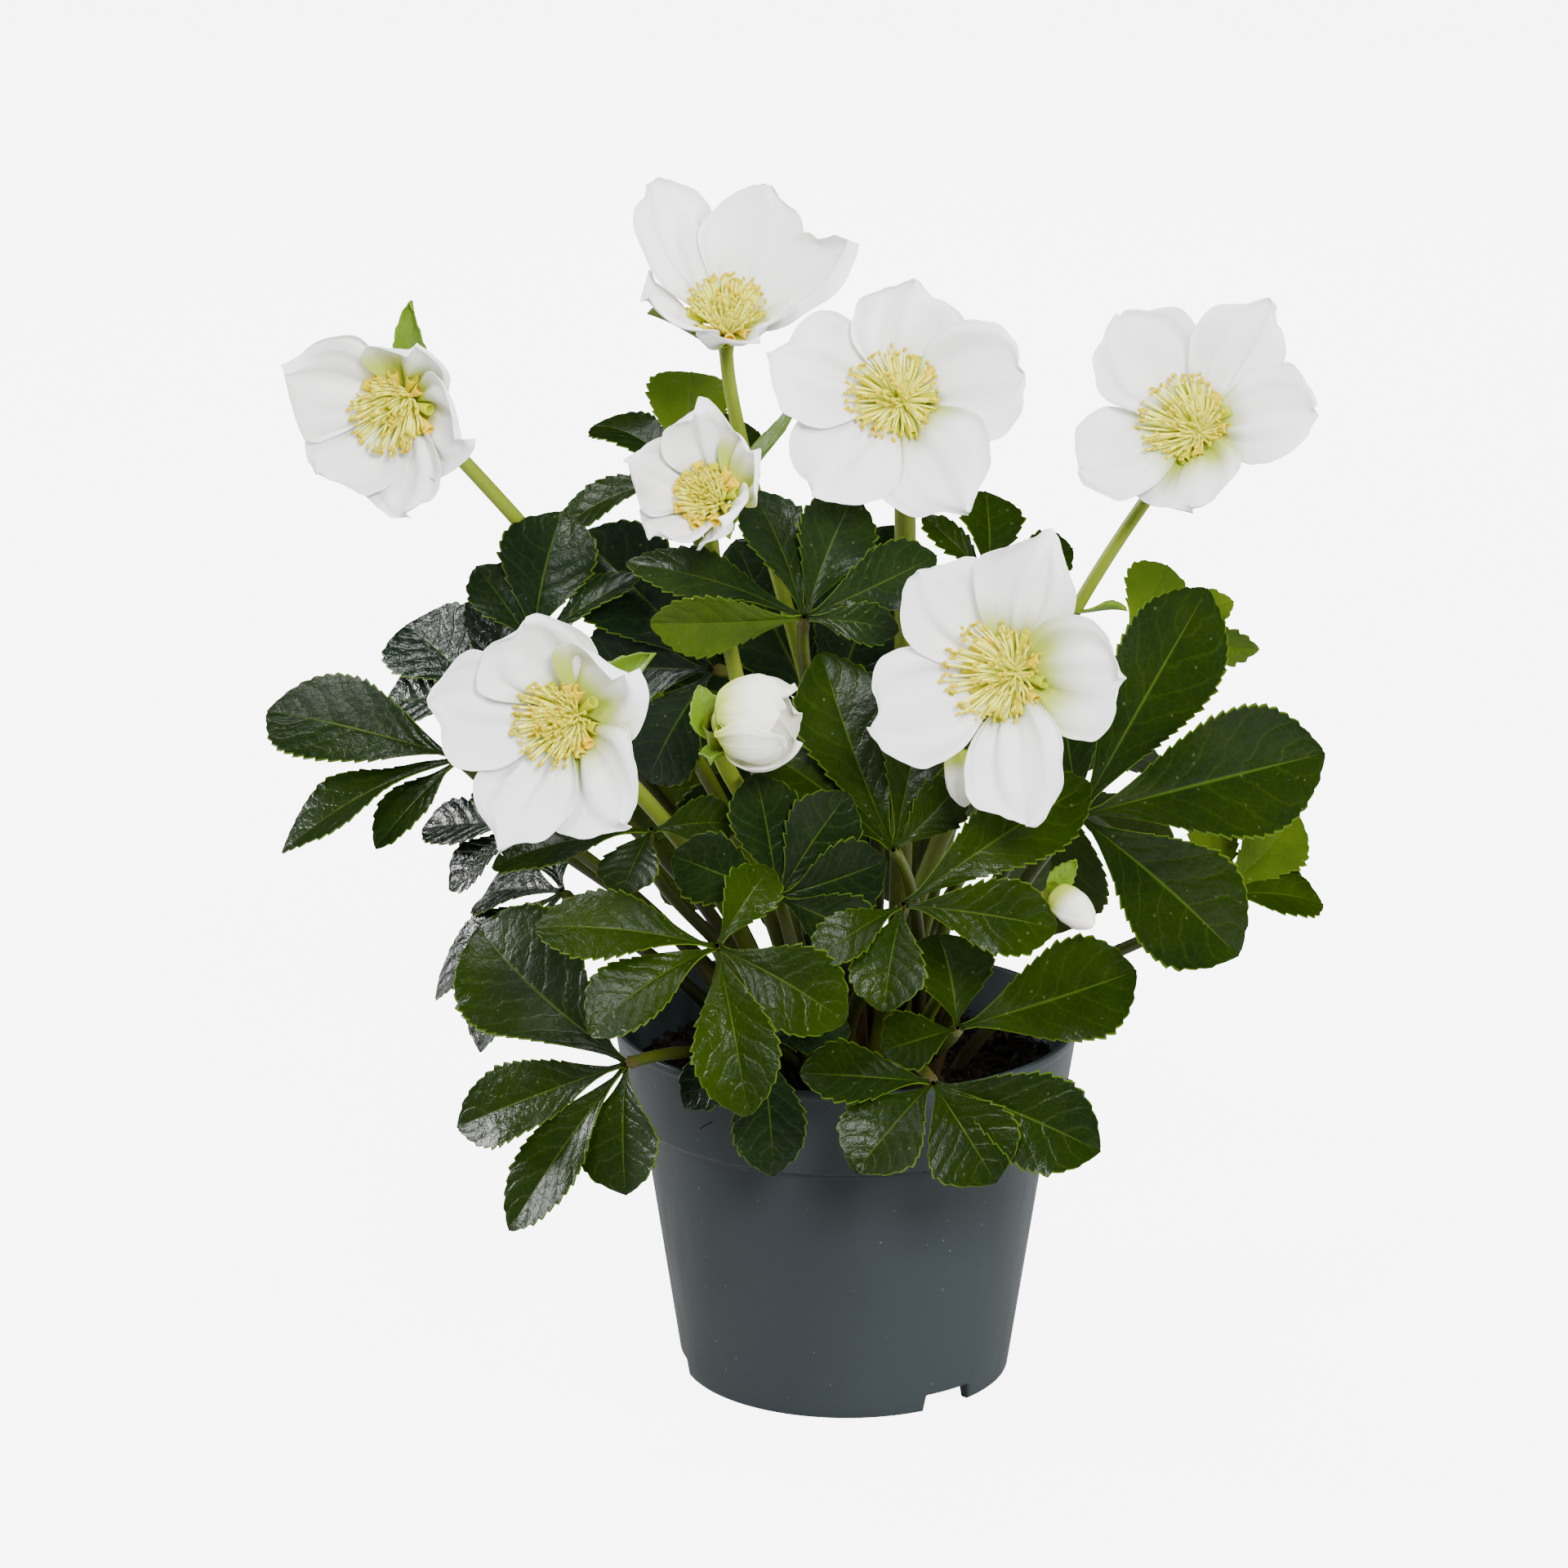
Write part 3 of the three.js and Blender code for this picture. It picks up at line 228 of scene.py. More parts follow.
def lookingFrame(looks):
    # right, up and out of a thing that faces so many degrees round and up
    b, h = np.radians(looks)
    out = np.array([math.cos(h) * math.sin(b), -math.cos(h) * math.cos(b), math.sin(h)])
    right = np.array([math.cos(b), math.sin(b), 0])
    return right, np.cross(out, right), out


def spoke(axes, turn):
    return axes[0] * math.cos(turn) + axes[1] * math.sin(turn)


def inPlane(axes, degrees):
    return spoke(axes, math.radians(degrees))


def turned(v, axis, degrees):
    a = math.radians(degrees)
    return v * math.cos(a) + np.cross(axis, v) * math.sin(a) + axis * np.dot(axis, v) * (1 - math.cos(a))


def growPlaces():
    # every stem has a place of its own on a spiral about the crown, and the widest spread choose first
    places = {name: np.array([*one["grows"], soil["top"]]) for name, one in plants.items() if "grows" in one}
    k = np.arange(len(plants))
    r, a = crown["spacing"] * np.sqrt(k + crown["first"]), k * goldenTurn
    spots = [np.array([x, y]) for x, y in zip(r * np.cos(a), r * np.sin(a))
             if all(math.dist((x, y), taken[:2]) > crown["spacing"] / 2 for taken in places.values())]

    def reach(name):
        x, y, z = plants[name]["middle"]
        return math.hypot(x, y) / (z - soil["top"] + crown["steady"])

    for name in sorted((name for name in plants if name not in places), key=reach, reverse=True):
        wish = plants[name]["middle"][:2]
        wish = wish * min(1, crown["spread"] / max(np.linalg.norm(wish), 1e-9))
        nearest = min(range(len(spots)), key=lambda i: np.linalg.norm(spots[i] - wish))
        places[name] = np.array([*spots.pop(nearest), soil["top"]])
    return places


crownPlaces = growPlaces()


def stemPath(name, plant, end, reach, steps):
    # a stem bends once on its way from the soil, and meets its leaf or flower from behind
    foot = crownPlaces[name] - [0, 0, soil["holeDepth"]]
    arrival = lookingFrame(plant.get("arrives", plant["looks"]))[2]
    length = np.linalg.norm(end - foot)
    aside = np.array([*plant.get("sway", (0, 0)), 0.0])
    first = foot + np.array([*foot[:2] * crown["leansOut"], length * crown["rises"]]) + aside * 0.5
    last = end - arrival * length * reach + aside
    t = np.linspace(0, 1, steps)[:, None]
    return foot * (1 - t) ** 3 + first * 3 * t * (1 - t) ** 2 + last * 3 * t * t * (1 - t) + end * t ** 3


def part(points, quads, form, tone, kind=0):
    points = np.asarray(points, float).reshape(-1, 3)
    quads = np.asarray(quads, int).reshape(-1, 4)
    return dict(points=points, quads=quads, form=np.asarray(form, float).reshape(-1, 2),
                tone=np.broadcast_to(np.asarray(tone, float), (len(points), 3)),
                kind=np.broadcast_to(kind, len(quads)))


def gridQuads(rows, columns, wrap=False):
    i, j = np.meshgrid(np.arange(rows - 1), np.arange(columns if wrap else columns - 1), indexing="ij")
    k = (j + 1) % columns
    corners = [i * columns + j, (i + 1) * columns + j, (i + 1) * columns + k, i * columns + k]
    return np.stack(corners, -1).reshape(-1, 4)


def ringTurns(sides):
    return np.linspace(0, math.tau, sides, endpoint=False)


def skin(rings, turns, tone, kind, flip):
    # joins rings of points into one closed skin
    form = np.stack(np.meshgrid(np.linspace(0, 1, len(rings)), turns / math.tau, indexing="ij"), -1)
    quads = gridQuads(len(rings), len(turns), True)
    return part(rings, quads[:, ::-1] if flip else quads, form, tone, kind)


def tube(path, radii, sides, tone, kind=0):
    # a round stalk along a path, its frame carried along without twist
    along = unit(np.gradient(path, axis=0))
    normals = []
    normal = np.cross(along[0], [0.3, 1, 0.2])
    for direction in along:
        normal = unit(normal - direction * np.dot(normal, direction))
        normals.append(normal)
    normals = np.array(normals)
    turns = ringTurns(sides)
    others = np.cross(along, normals)
    ring = normals[:, None] * np.cos(turns)[:, None] + others[:, None] * np.sin(turns)[:, None]
    return skin(path[:, None] + ring * np.asarray(radii)[:, None, None], turns, tone, kind, False)


def spun(base, axis, profile, sides, tone, kind=0, shape=None):
    # a body turned about an axis, from (distance, radius) pairs; shape(turn, step) may swell it
    side = unit(np.cross(axis, [0.31, 0.87, 0.11] if abs(axis[1]) < 0.9 else [1, 0, 0.2]))
    distance, radius = np.array(profile, float).T
    turns = ringTurns(sides)
    swell = shape(turns[None], np.linspace(0, 1, len(distance))[:, None]) if shape else 1
    ring = side * np.cos(turns)[:, None] + np.cross(axis, side) * np.sin(turns)[:, None]
    rings = base + axis * distance[:, None, None] + ring[None] * (radius[:, None] * swell)[..., None]
    return skin(rings, turns, tone, kind, True)


def bladePoints(blade, u, across, lift):
    # a blade that starts `rise` degrees above its plane, bends down by `droop`, and may be rolled across
    start, bend = math.radians(blade["rise"]), math.radians(blade["droop"]) or 1e-6
    angle = start - bend * u
    forward = blade["length"] * (math.sin(start) - np.sin(angle)) / bend
    height = blade["length"] * (np.cos(angle) - math.cos(start)) / bend
    rolled = blade["curl"](forward, angle) if "curl" in blade else 1e-6
    raised = lift + (1 - np.cos(across * rolled)) / rolled
    side = np.cross(blade["normal"], blade["along"])
    return (blade["root"] + blade["along"] * (forward - raised * np.sin(angle))[..., None]
            + blade["normal"] * (height + raised * np.cos(angle))[..., None]
            + side * (np.sin(across * rolled) / rolled)[..., None])


def thickSheet(points, over, under, u, v, tone, kinds=(0, 1, 2)):
    # two faces and the edge between them; over and under are how far each face stands off the middle surface
    rows, columns = points.shape[:2]
    normals = unit(np.cross(np.gradient(points, axis=0), np.gradient(points, axis=1)))
    both = np.concatenate([points + normals * over[..., None], points - normals * under[..., None]])
    top = gridQuads(rows, columns)
    index = np.arange(rows * columns).reshape(rows, columns)
    ring = np.concatenate([index[:-1, 0], index[-1, :-1], index[:0:-1, -1], index[0, :0:-1]])
    following = np.roll(ring, -1)
    shift = rows * columns
    edge = np.stack([ring + shift, following + shift, following, ring], -1)
    quads = np.concatenate([top, top[:, ::-1] + shift, edge])
    form = np.stack(np.broadcast_arrays(u, (v + 1) / 2), -1)
    return part(both, quads, [form, form], tone, np.repeat(kinds, (len(top), len(top), len(edge))))


def makePiece(name, parts, materials, nodes):
    # "form" tells a material where along and across a part it is, and "tone" which of its colours to take
    def joined(key):
        return np.concatenate([one[key] for one in parts])

    starts = np.cumsum([0] + [len(one["points"]) for one in parts])
    quads = np.concatenate([one["quads"] + start for one, start in zip(parts, starts)])
    points, tone = joined("points") * mm, joined("tone")
    mesh = bpy.data.meshes.new(name)
    mesh.vertices.add(len(points))
    mesh.vertices.foreach_set("co", points.astype(np.float32).ravel())
    mesh.loops.add(quads.size)
    mesh.loops.foreach_set("vertex_index", quads.ravel().astype(np.int32))
    mesh.polygons.add(len(quads))
    mesh.polygons.foreach_set("loop_start", np.arange(0, quads.size, 4, dtype=np.int32))
    mesh.polygons.foreach_set("material_index", joined("kind").astype(np.int32))
    form = joined("form")[quads.ravel()].astype(np.float32)
    mesh.uv_layers.new(name="form").data.foreach_set("uv", form.ravel())
    colours = np.hstack([tone, np.ones((len(tone), 1))]).astype(np.float32)
    mesh.color_attributes.new("tone", "FLOAT_COLOR", "POINT").data.foreach_set("color", colours.ravel())
    mesh.update(calc_edges=True)
    mesh.shade_smooth()
    for material in materials:
        mesh.materials.append(material)
    piece = bpy.data.objects.new(name, mesh)
    bpy.context.scene.collection.objects.link(piece)
    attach(piece, "root")
    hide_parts(*nodes)


def newGroup(name, inputs, outputs):
    tree = bpy.data.node_groups.new(name, "ShaderNodeTree")
    for label, kind, *value in inputs:
        socket = tree.interface.new_socket(label, in_out="INPUT", socket_type="NodeSocket" + kind)
        if value:
            socket.default_value = value[0]
    for label in outputs:
        tree.interface.new_socket(label, in_out="OUTPUT", socket_type="NodeSocketFloat")
    return tree, tree.nodes.new("NodeGroupInput").outputs, tree.nodes.new("NodeGroupOutput").inputs


def put(socket, value):
    # links a socket, or sets a number or a colour
    if isinstance(value, bpy.types.NodeSocket):
        socket.id_data.links.new(value, socket)
    elif value is not None:
        socket.default_value = (*value, 1) if isinstance(value, tuple) else value


def newNode(beside, kind):
    # a node in the tree that a socket belongs to
    return beside.id_data.nodes.new("ShaderNode" + kind)


def maths(operation, a, b=None, c=None):
    node = newNode(a, "Math")
    node.operation = operation
    for socket, value in zip(node.inputs, (a, b, c)):
        put(socket, value)
    return node.outputs[0]


def times(a, b, plus=None):
    return maths("MULTIPLY", a, b) if plus is None else maths("MULTIPLY_ADD", a, b, plus)


def spread(value, low, high, toLow=0.0, toHigh=1.0):
    node = newNode(value, "MapRange")
    node.interpolation_type = "SMOOTHSTEP"
    given = {"Value": value, "From Min": low, "From Max": high, "To Min": toLow, "To Max": toHigh}
    for label, entry in given.items():
        put(node.inputs[label], entry)
    return node.outputs["Result"]


def blended(factor, a, b, way="MIX"):
    node = newNode(factor, "Mix")
    node.data_type = "RGBA"
    node.blend_type = way
    node.clamp_factor = True
    for place, value in ((0, factor), (6, a), (7, b)):
        put(node.inputs[place], value)
    return node.outputs[2]


def layered(base, *layers):
    # lays colours over a base one by one, each as strongly as its mask says
    for mask, strength, over, *way in layers:
        base = blended(times(mask, strength), base, over, *way)
    return base


def noise(where, scale, detail, roughness=0.55):
    node = newNode(where, "TexNoise")
    for label, value in {"Vector": where, "Scale": scale, "Detail": detail, "Roughness": roughness}.items():
        put(node.inputs[label], value)
    return node.outputs["Fac"]


def cells(where, scale, feature):
    node = newNode(where, "TexVoronoi")
    node.feature = feature
    put(node.inputs["Vector"], where)
    put(node.inputs["Scale"], scale)
    return node.outputs


def parted(value, kind):
    node = newNode(value, "Separate" + kind)
    put(node.inputs[0], value)
    return node.outputs


veinForm = {
    "taper": (1.6, 0.35), "slantPower": 1.25, "wander": (110, 0.16), "fades": 0.75, "net": 330, "netWidth": 0.09,
    "margin": (0.955, 0.985), "relief": {"net": -0.18, "hollows": 0.5, "rib": 0.8, "sides": 0.45},
}


def buildVeins():
    # ribs of a blade from its form: x runs from root to tip, y from side to side
    tree, given, out = newGroup(
        "veins", [("Form", "Vector"), ("Place", "Vector"), ("Count", "Float", 7.0), ("Slant", "Float", 0.25),
                  ("Rib Width", "Float", 0.05), ("Side Width", "Float", 0.1)],
        ["Rib", "Sides", "Net", "Margin", "Height"])
    form, relief = parted(given["Form"], "XYZ"), veinForm["relief"]
    along = form["X"]
    off = maths("ABSOLUTE", times(form["Y"], 2.0, -1.0))
    ribWidth = times(given["Rib Width"], spread(along, 0.0, 1.0, *veinForm["taper"]))
    rib = spread(off, 0.0, ribWidth, 1.0, 0.0)
    scale, size = veinForm["wander"]
    wander = times(noise(given["Place"], scale, 3), size, -size / 2)
    bent = times(given["Slant"], maths("POWER", off, veinForm["slantPower"]))
    order = times(maths("ADD", maths("SUBTRACT", along, bent), wander), given["Count"])
    near = maths("ABSOLUTE", maths("SUBTRACT", maths("FRACT", order), 0.5))
    sides = spread(near, 0.0, given["Side Width"], 1.0, 0.0)
    sides = times(sides, spread(off, veinForm["fades"], 1.0, 1.0, 0.0))
    net = cells(given["Place"], veinForm["net"], "DISTANCE_TO_EDGE")["Distance"]
    net = spread(net, 0.0, veinForm["netWidth"], 1.0, 0.0)
    hollows = times(spread(near, 0.0, 0.5, 0.0, 1.0), relief["hollows"])
    ridges = times(rib, relief["rib"], times(sides, relief["sides"]))
    height = maths("SUBTRACT", times(net, relief["net"], hollows), ridges)
    margin = spread(off, *veinForm["margin"])
    for label, value in {"Rib": rib, "Sides": sides, "Net": net, "Height": height, "Margin": margin}.items():
        tree.links.new(value, out[label])
    return tree


def buildMottle():
    # soft blotches and small freckles, for anything grown or weathered
    tree, given, out = newGroup(
        "mottle", [("Place", "Vector"), ("Blotch Size", "Float", 60.0), ("Fleck Size", "Float", 900.0),
                   ("Fleck Share", "Float", 0.3)], ["Blotch", "Fleck", "Grain"])
    place = given["Place"]
    blotch = spread(noise(place, given["Blotch Size"], 4, 0.5), 0.3, 0.7)
    spots = cells(place, given["Fleck Size"], "F1")
    bright = parted(spots["Color"], "Color")
    size = times(bright[1], 0.36)
    inside = spread(spots["Distance"], size, maths("ADD", size, 0.12), 1.0, 0.0)
    fleck = times(maths("LESS_THAN", bright[0], given["Fleck Share"]), inside)
    for label, value in {"Blotch": blotch, "Fleck": fleck, "Grain": noise(place, 1500, 2)}.items():
        tree.links.new(value, out[label])
    return tree


groups = {"veins": buildVeins(), "mottle": buildMottle()}


def startMaterial(name, roughness, specular=0.5, flesh=None):
    # flesh is how much light passes into the surface, and how far each colour of it travels
    material = bpy.data.materials.new(name)
    material.use_nodes = True
    tree = material.node_tree
    sockets = tree.nodes["Principled BSDF"].inputs
    sockets["Roughness"].default_value = roughness
    sockets["Specular IOR Level"].default_value = specular
    if flesh:
        sockets["Subsurface Weight"].default_value, sockets["Subsurface Radius"].default_value = flesh
        sockets["Subsurface Scale"].default_value = 1.0
    return material, tree.nodes.new("ShaderNodeTexCoord").outputs["Object"]


def finishMaterial(material, base, relief, bumps, rough=None):
    # bumps are how strong the relief is and how high, in metres
    sockets = material.node_tree.nodes["Principled BSDF"].inputs
    bump = newNode(base, "Bump")
    for socket, value in ((bump.inputs["Strength"], bumps[0]), (bump.inputs["Distance"], bumps[1]),
                          (bump.inputs["Height"], relief), (sockets["Normal"], bump.outputs["Normal"]),
                          (sockets["Base Color"], base), (sockets["Roughness"], rough)):
        put(socket, value)
    return material


def placeGroup(name, place, given):
    node = newNode(place, "Group")
    node.node_tree = groups[name]
    for label, value in {"Place": place, **given}.items():
        put(node.inputs[label], value)
    return node.outputs


def mottled(place, sizes):
    return placeGroup("mottle", place, dict(zip(("Blotch Size", "Fleck Size", "Fleck Share"), sizes)))


def readForm(place):
    node = newNode(place, "UVMap")
    node.uv_map = "form"
    return node.outputs["UV"]


def readTone(place):
    node = newNode(place, "Attribute")
    node.attribute_name = "tone"
    return parted(node.outputs["Color"], "Color")


leafLook = {
    "roughness": 0.27, "veins": 7.0, "mottle": (45.0, 900.0, 0.03), "cool": (0.0060, 0.0130, 0.0085),
    "bright": (0.060, 0.092, 0.005), "ribs": (0.042, 0.072, 0.006), "margin": (0.052, 0.090, 0.005),
    "blotch": (0.40, 0.52, 0.75), "fleck": (0.09, 0.11, 0.05),
    "upper": {"deep": (0.0050, 0.0118, 0.0009), "fresh": (0.0135, 0.0265, 0.0008),
              "net": 0.05, "sides": 0.1, "rib": 0.6, "roughness": 0.22, "bump": (0.7, 0.0010)},
    "under": {"deep": (0.025, 0.040, 0.0045), "fresh": (0.046, 0.070, 0.006),
              "net": 0.2, "sides": 0.4, "rib": 0.85, "roughness": 0.42, "bump": (0.4, 0.0010)},
}


def leafMaterial(name, face, gloss):
    # tone: red is how fresh the green is (on the inner leaves its low end is partly painted shade, on
    # leaf_front_left its high end partly painted highlight), green how cool, blue how wrinkled
    look = leafLook[face]
    material, place = startMaterial(name, leafLook["roughness"], gloss)
    fresh, cool, wrinkle = readTone(place)
    veins = placeGroup("veins", place, {"Form": readForm(place), "Count": leafLook["veins"]})
    mottle = mottled(place, leafLook["mottle"])
    base = blended(fresh, look["deep"], look["fresh"])
    if face == "upper":
        base = blended(spread(fresh, 0.75, 1.0), base, leafLook["bright"])
        base = layered(base, (cool, 0.7, leafLook["cool"]))
    base = layered(base, (mottle["Blotch"], 0.85, leafLook["blotch"], "MULTIPLY"),
                   (veins["Net"], look["net"], leafLook["ribs"]),
                   (veins["Sides"], look["sides"], leafLook["ribs"]),
                   (veins["Rib"], look["rib"], leafLook["ribs"]),
                   (veins["Margin"], 0.75, leafLook["margin"]), (mottle["Fleck"], 0.3, leafLook["fleck"]))
    wrinkled = times(veins["Height"], times(wrinkle, 0.7))
    crinkled = times(noise(place, 300, 4), times(wrinkle, 0.9, 0.25))
    relief = times(mottle["Grain"], 0.06, maths("ADD", wrinkled, crinkled))
    rough = times(mottle["Blotch"], 0.14, look["roughness"])
    return finishMaterial(material, base, relief, look["bump"], rough)


# the dark stalk colour named green is a deep stalk green darkened to near black, as painted shade of the crowded
# middle of the plant
stalkLook = {
    "light": (0.155, 0.205, 0.014), "green": (0.008, 0.013, 0.001), "purple": (0.035, 0.014, 0.012),
    "roughness": 0.42, "specular": 0.25, "flesh": (0.1, (0.002, 0.003, 0.0007)), "mottle": (90.0, 1300.0, 0.35),
    "bump": (0.25, 0.0004),
}


def stalkMaterial():
    # tone: red is how light it is, its dark end painted shade of the plant's crowded middle; green how purple
    look = stalkLook
    material, place = startMaterial("stalk", look["roughness"], look["specular"], look["flesh"])
    light, purple = readTone(place)[:2]
    mottle = mottled(place, look["mottle"])
    blush = times(purple, spread(mottle["Blotch"], 0.2, 0.8, 0.35, 1.0))
    base = blended(blush, blended(light, look["green"], look["light"]), look["purple"])
    base = layered(base, (mottle["Fleck"], times(purple, 0.5, 0.22), look["purple"]))
    return finishMaterial(material, base, times(mottle["Grain"], 0.4, mottle["Blotch"]), look["bump"])


sepalLook = {
    "white": (0.84, 0.84, 0.835), "shade": (0.66, 0.67, 0.675), "root": (0.34, 0.42, 0.004),
    "vein": (0.70, 0.72, 0.66), "cream": (0.80, 0.78, 0.58), "roughness": 0.5, "specular": 0.3,
    "flesh": (0.12, (0.003, 0.003, 0.002)), "mottle": (55.0, 500.0, 0.02), "rootReach": (0.68, 0.06, 0.16),
    "veins": {"Count": 4.0, "Slant": -0.55, "Rib Width": 0.09, "Side Width": 0.07}, "creases": 150.0,
    "bump": (0.22, 0.0004),
}


def sepalMaterial():
    # tone: red is how far the green of the root spreads, green how cream it is
    look = sepalLook
    material, place = startMaterial("sepal", look["roughness"], look["specular"], look["flesh"])
    green, cream = readTone(place)[:2]
    form = readForm(place)
    along, across = parted(form, "XYZ")[:2]
    veins = placeGroup("veins", place, {"Form": form, **look["veins"]})
    mottle = mottled(place, look["mottle"])
    base = layered(look["white"], (mottle["Blotch"], 0.4, look["shade"]),
                   (veins["Sides"], 0.2, look["vein"]), (cream, 0.8, look["cream"]))
    byGreen, byBlotch, least = look["rootReach"]
    reach = times(green, byGreen, times(mottle["Blotch"], byBlotch, least))
    root = spread(along, times(reach, 0.36), reach, 1.0, 0.0)
    base = layered(base, (root, 0.95, look["root"]))
    fine = maths("SINE", times(across, look["creases"]))
    relief = times(fine, 0.12, times(veins["Height"], 0.5))
    return finishMaterial(material, base, relief, look["bump"])


centreLook = {  # pale colour, strong colour, roughness and bump
    "anther": ((0.57, 0.48, 0.0), (0.52, 0.40, 0.0), 0.9, (0.6, 0.0002)),
    "filament": ((0.90, 0.90, 0.16), (0.58, 0.60, 0.0), 0.7, (0.1, 0.0002)),
    "nectary": ((0.76, 0.50, 0.0), (0.36, 0.44, 0.0), 0.5, (0.1, 0.0002)),
}


def centreMaterial(name):
    # tone: red runs from the pale to the strong colour
    pale, strong, roughness, bump = centreLook[name]
    material, place = startMaterial(name, roughness, 0.1, (0.1, (0.0012, 0.0011, 0.0004)))
    mottle = mottled(place, (700.0, 2500.0, 0.4))
    base = blended(readTone(place)[0], pale, strong)
    base = layered(base, (mottle["Blotch"], 0.25, (0.95, 0.9, 0.7), "MULTIPLY"))
    return finishMaterial(material, base, maths("ADD", mottle["Fleck"], mottle["Grain"]), bump)


bractLook = {"deep": (0.060, 0.115, 0.004), "fresh": (0.090, 0.150, 0.007), "rib": (0.15, 0.20, 0.02),
             "flesh": (0.15, (0.002, 0.003, 0.0007)), "veins": {"Count": 6.0, "Rib Width": 0.09},
             "mottle": (150.0, 900.0, 0.3), "bump": (0.4, 0.0004)}


def bractMaterial():
    look = bractLook
    material, place = startMaterial("bract", 0.42, flesh=look["flesh"])
    veins = placeGroup("veins", place, {"Form": readForm(place), **look["veins"]})
    base = blended(mottled(place, look["mottle"])["Blotch"], look["deep"], look["fresh"])
    base = layered(base, (veins["Rib"], 0.5, look["rib"]), (veins["Sides"], 0.3, look["rib"]))
    return finishMaterial(material, base, veins["Height"], look["bump"])


potLook = {"plastic": (0.019, 0.0245, 0.027), "worn": (0.029, 0.036, 0.038), "dust": (0.12, 0.12, 0.11),
           "mottle": (14.0, 1100.0, 0.012), "streaks": 90, "streakLength": 0.12, "bump": (0.12, 0.0003)}


def potMaterial():
    material, place = startMaterial("pot plastic", 0.42, 0.15)
    mottle = mottled(place, potLook["mottle"])
    stretch = newNode(place, "Mapping")
    stretch.inputs["Scale"].default_value = (1, 1, potLook["streakLength"])
    put(stretch.inputs["Vector"], place)
    streaks = spread(noise(stretch.outputs[0], potLook["streaks"], 4), 0.45, 0.75)
    base = layered(potLook["plastic"], (mottle["Blotch"], 0.3, potLook["worn"]),
                   (streaks, 0.10, potLook["worn"]), (mottle["Fleck"], 0.35, potLook["dust"]))
    rough = times(streaks, 0.10, times(mottle["Blotch"], 0.08, 0.36))
    relief = times(mottle["Grain"], 0.5, mottle["Fleck"])
    return finishMaterial(material, base, relief, potLook["bump"], rough)


peatLook = {"wet": (0.004, 0.003, 0.002), "dry": (0.020, 0.013, 0.008), "blotch": (0.4, 0.36, 0.33),
            "fleck": (0.04, 0.026, 0.016), "mottle": (260.0, 700.0, 0.12), "bump": (0.8, 0.0012)}


def peatMaterial():
    # tone: red is how dry it is; the wet colour is dark peat made near black, partly as painted shade on the
    # soil under the leaves
    material, place = startMaterial("peat", 0.9, 0.2)
    mottle = mottled(place, peatLook["mottle"])
    base = blended(readTone(place)[0], peatLook["wet"], peatLook["dry"])
    base = layered(base, (mottle["Blotch"], 0.6, peatLook["blotch"], "MULTIPLY"),
                   (mottle["Fleck"], 0.3, peatLook["fleck"]))
    relief = times(mottle["Grain"], 0.5, mottle["Blotch"])
    return finishMaterial(material, base, relief, peatLook["bump"])


looks = {
    "leafUpper": leafMaterial("leaf upper side", "upper", 0.15),
    "leafGlossy": leafMaterial("wrinkled leaf upper side", "upper", 0.6),
    "leafUnder": leafMaterial("leaf underside", "under", 0.1),
    "stalk": stalkMaterial(), "sepal": sepalMaterial(), "bract": bractMaterial(),
    **{name: centreMaterial(name) for name in centreLook},
    "pot": potMaterial(), "peat": peatMaterial(),
}
print("materials:", len(looks))

leafForm = {
    "thickness": 0.5, "width": 0.46, "broad": 1.08, "rootGap": 0.8, "tipGap": 0.4, "fold": 12, "roll": 12,
    "toothEvery": 3.2, "toothDepth": 1.25, "toothStart": 0.26, "toothVaries": (0.45, 1.2),
    "wave": 0.022, "waves": (1.1, 1.9), "pucker": 0.12, "bow": 0.03, "droopVaries": (-3, 6),
    "freshVaries": 0.12, "ribBelow": 0.6, "ribAbove": 0.3, "ribWidth": 0.75, "stalkHalfWidth": 0.8,
    "stalkRadius": (2.3, 1.55), "stalkSwell": 0.5, "stalkSides": 12, "stalkSteps": 30,
    "plainRows": (0, 0.03, 0.08, 0.14, 0.2),
    "columns": (0, 0.05, 0.12, 0.22, 0.36, 0.52, 0.68, 0.82, 0.92, 0.972, 1),
}
bladeColumns = np.array([-v for v in leafForm["columns"][:0:-1]] + list(leafForm["columns"]))


def toothedRows(length):
    # stations along a leaflet: a few to where the teeth begin, then three to each tooth
    start, plain = leafForm["toothStart"], leafForm["plainRows"]
    count = max(5, round(length * (1 - start) / leafForm["toothEvery"]))
    teeth = (np.arange(count)[:, None] + np.array([0, 0.45, 0.88])[None]).ravel() / count
    rows = np.concatenate([plain, start + teeth * (1 - start), [1]])
    return rows, np.concatenate([np.zeros(len(plain)), np.tile([0, 0.6, 1.0], count), [0]])


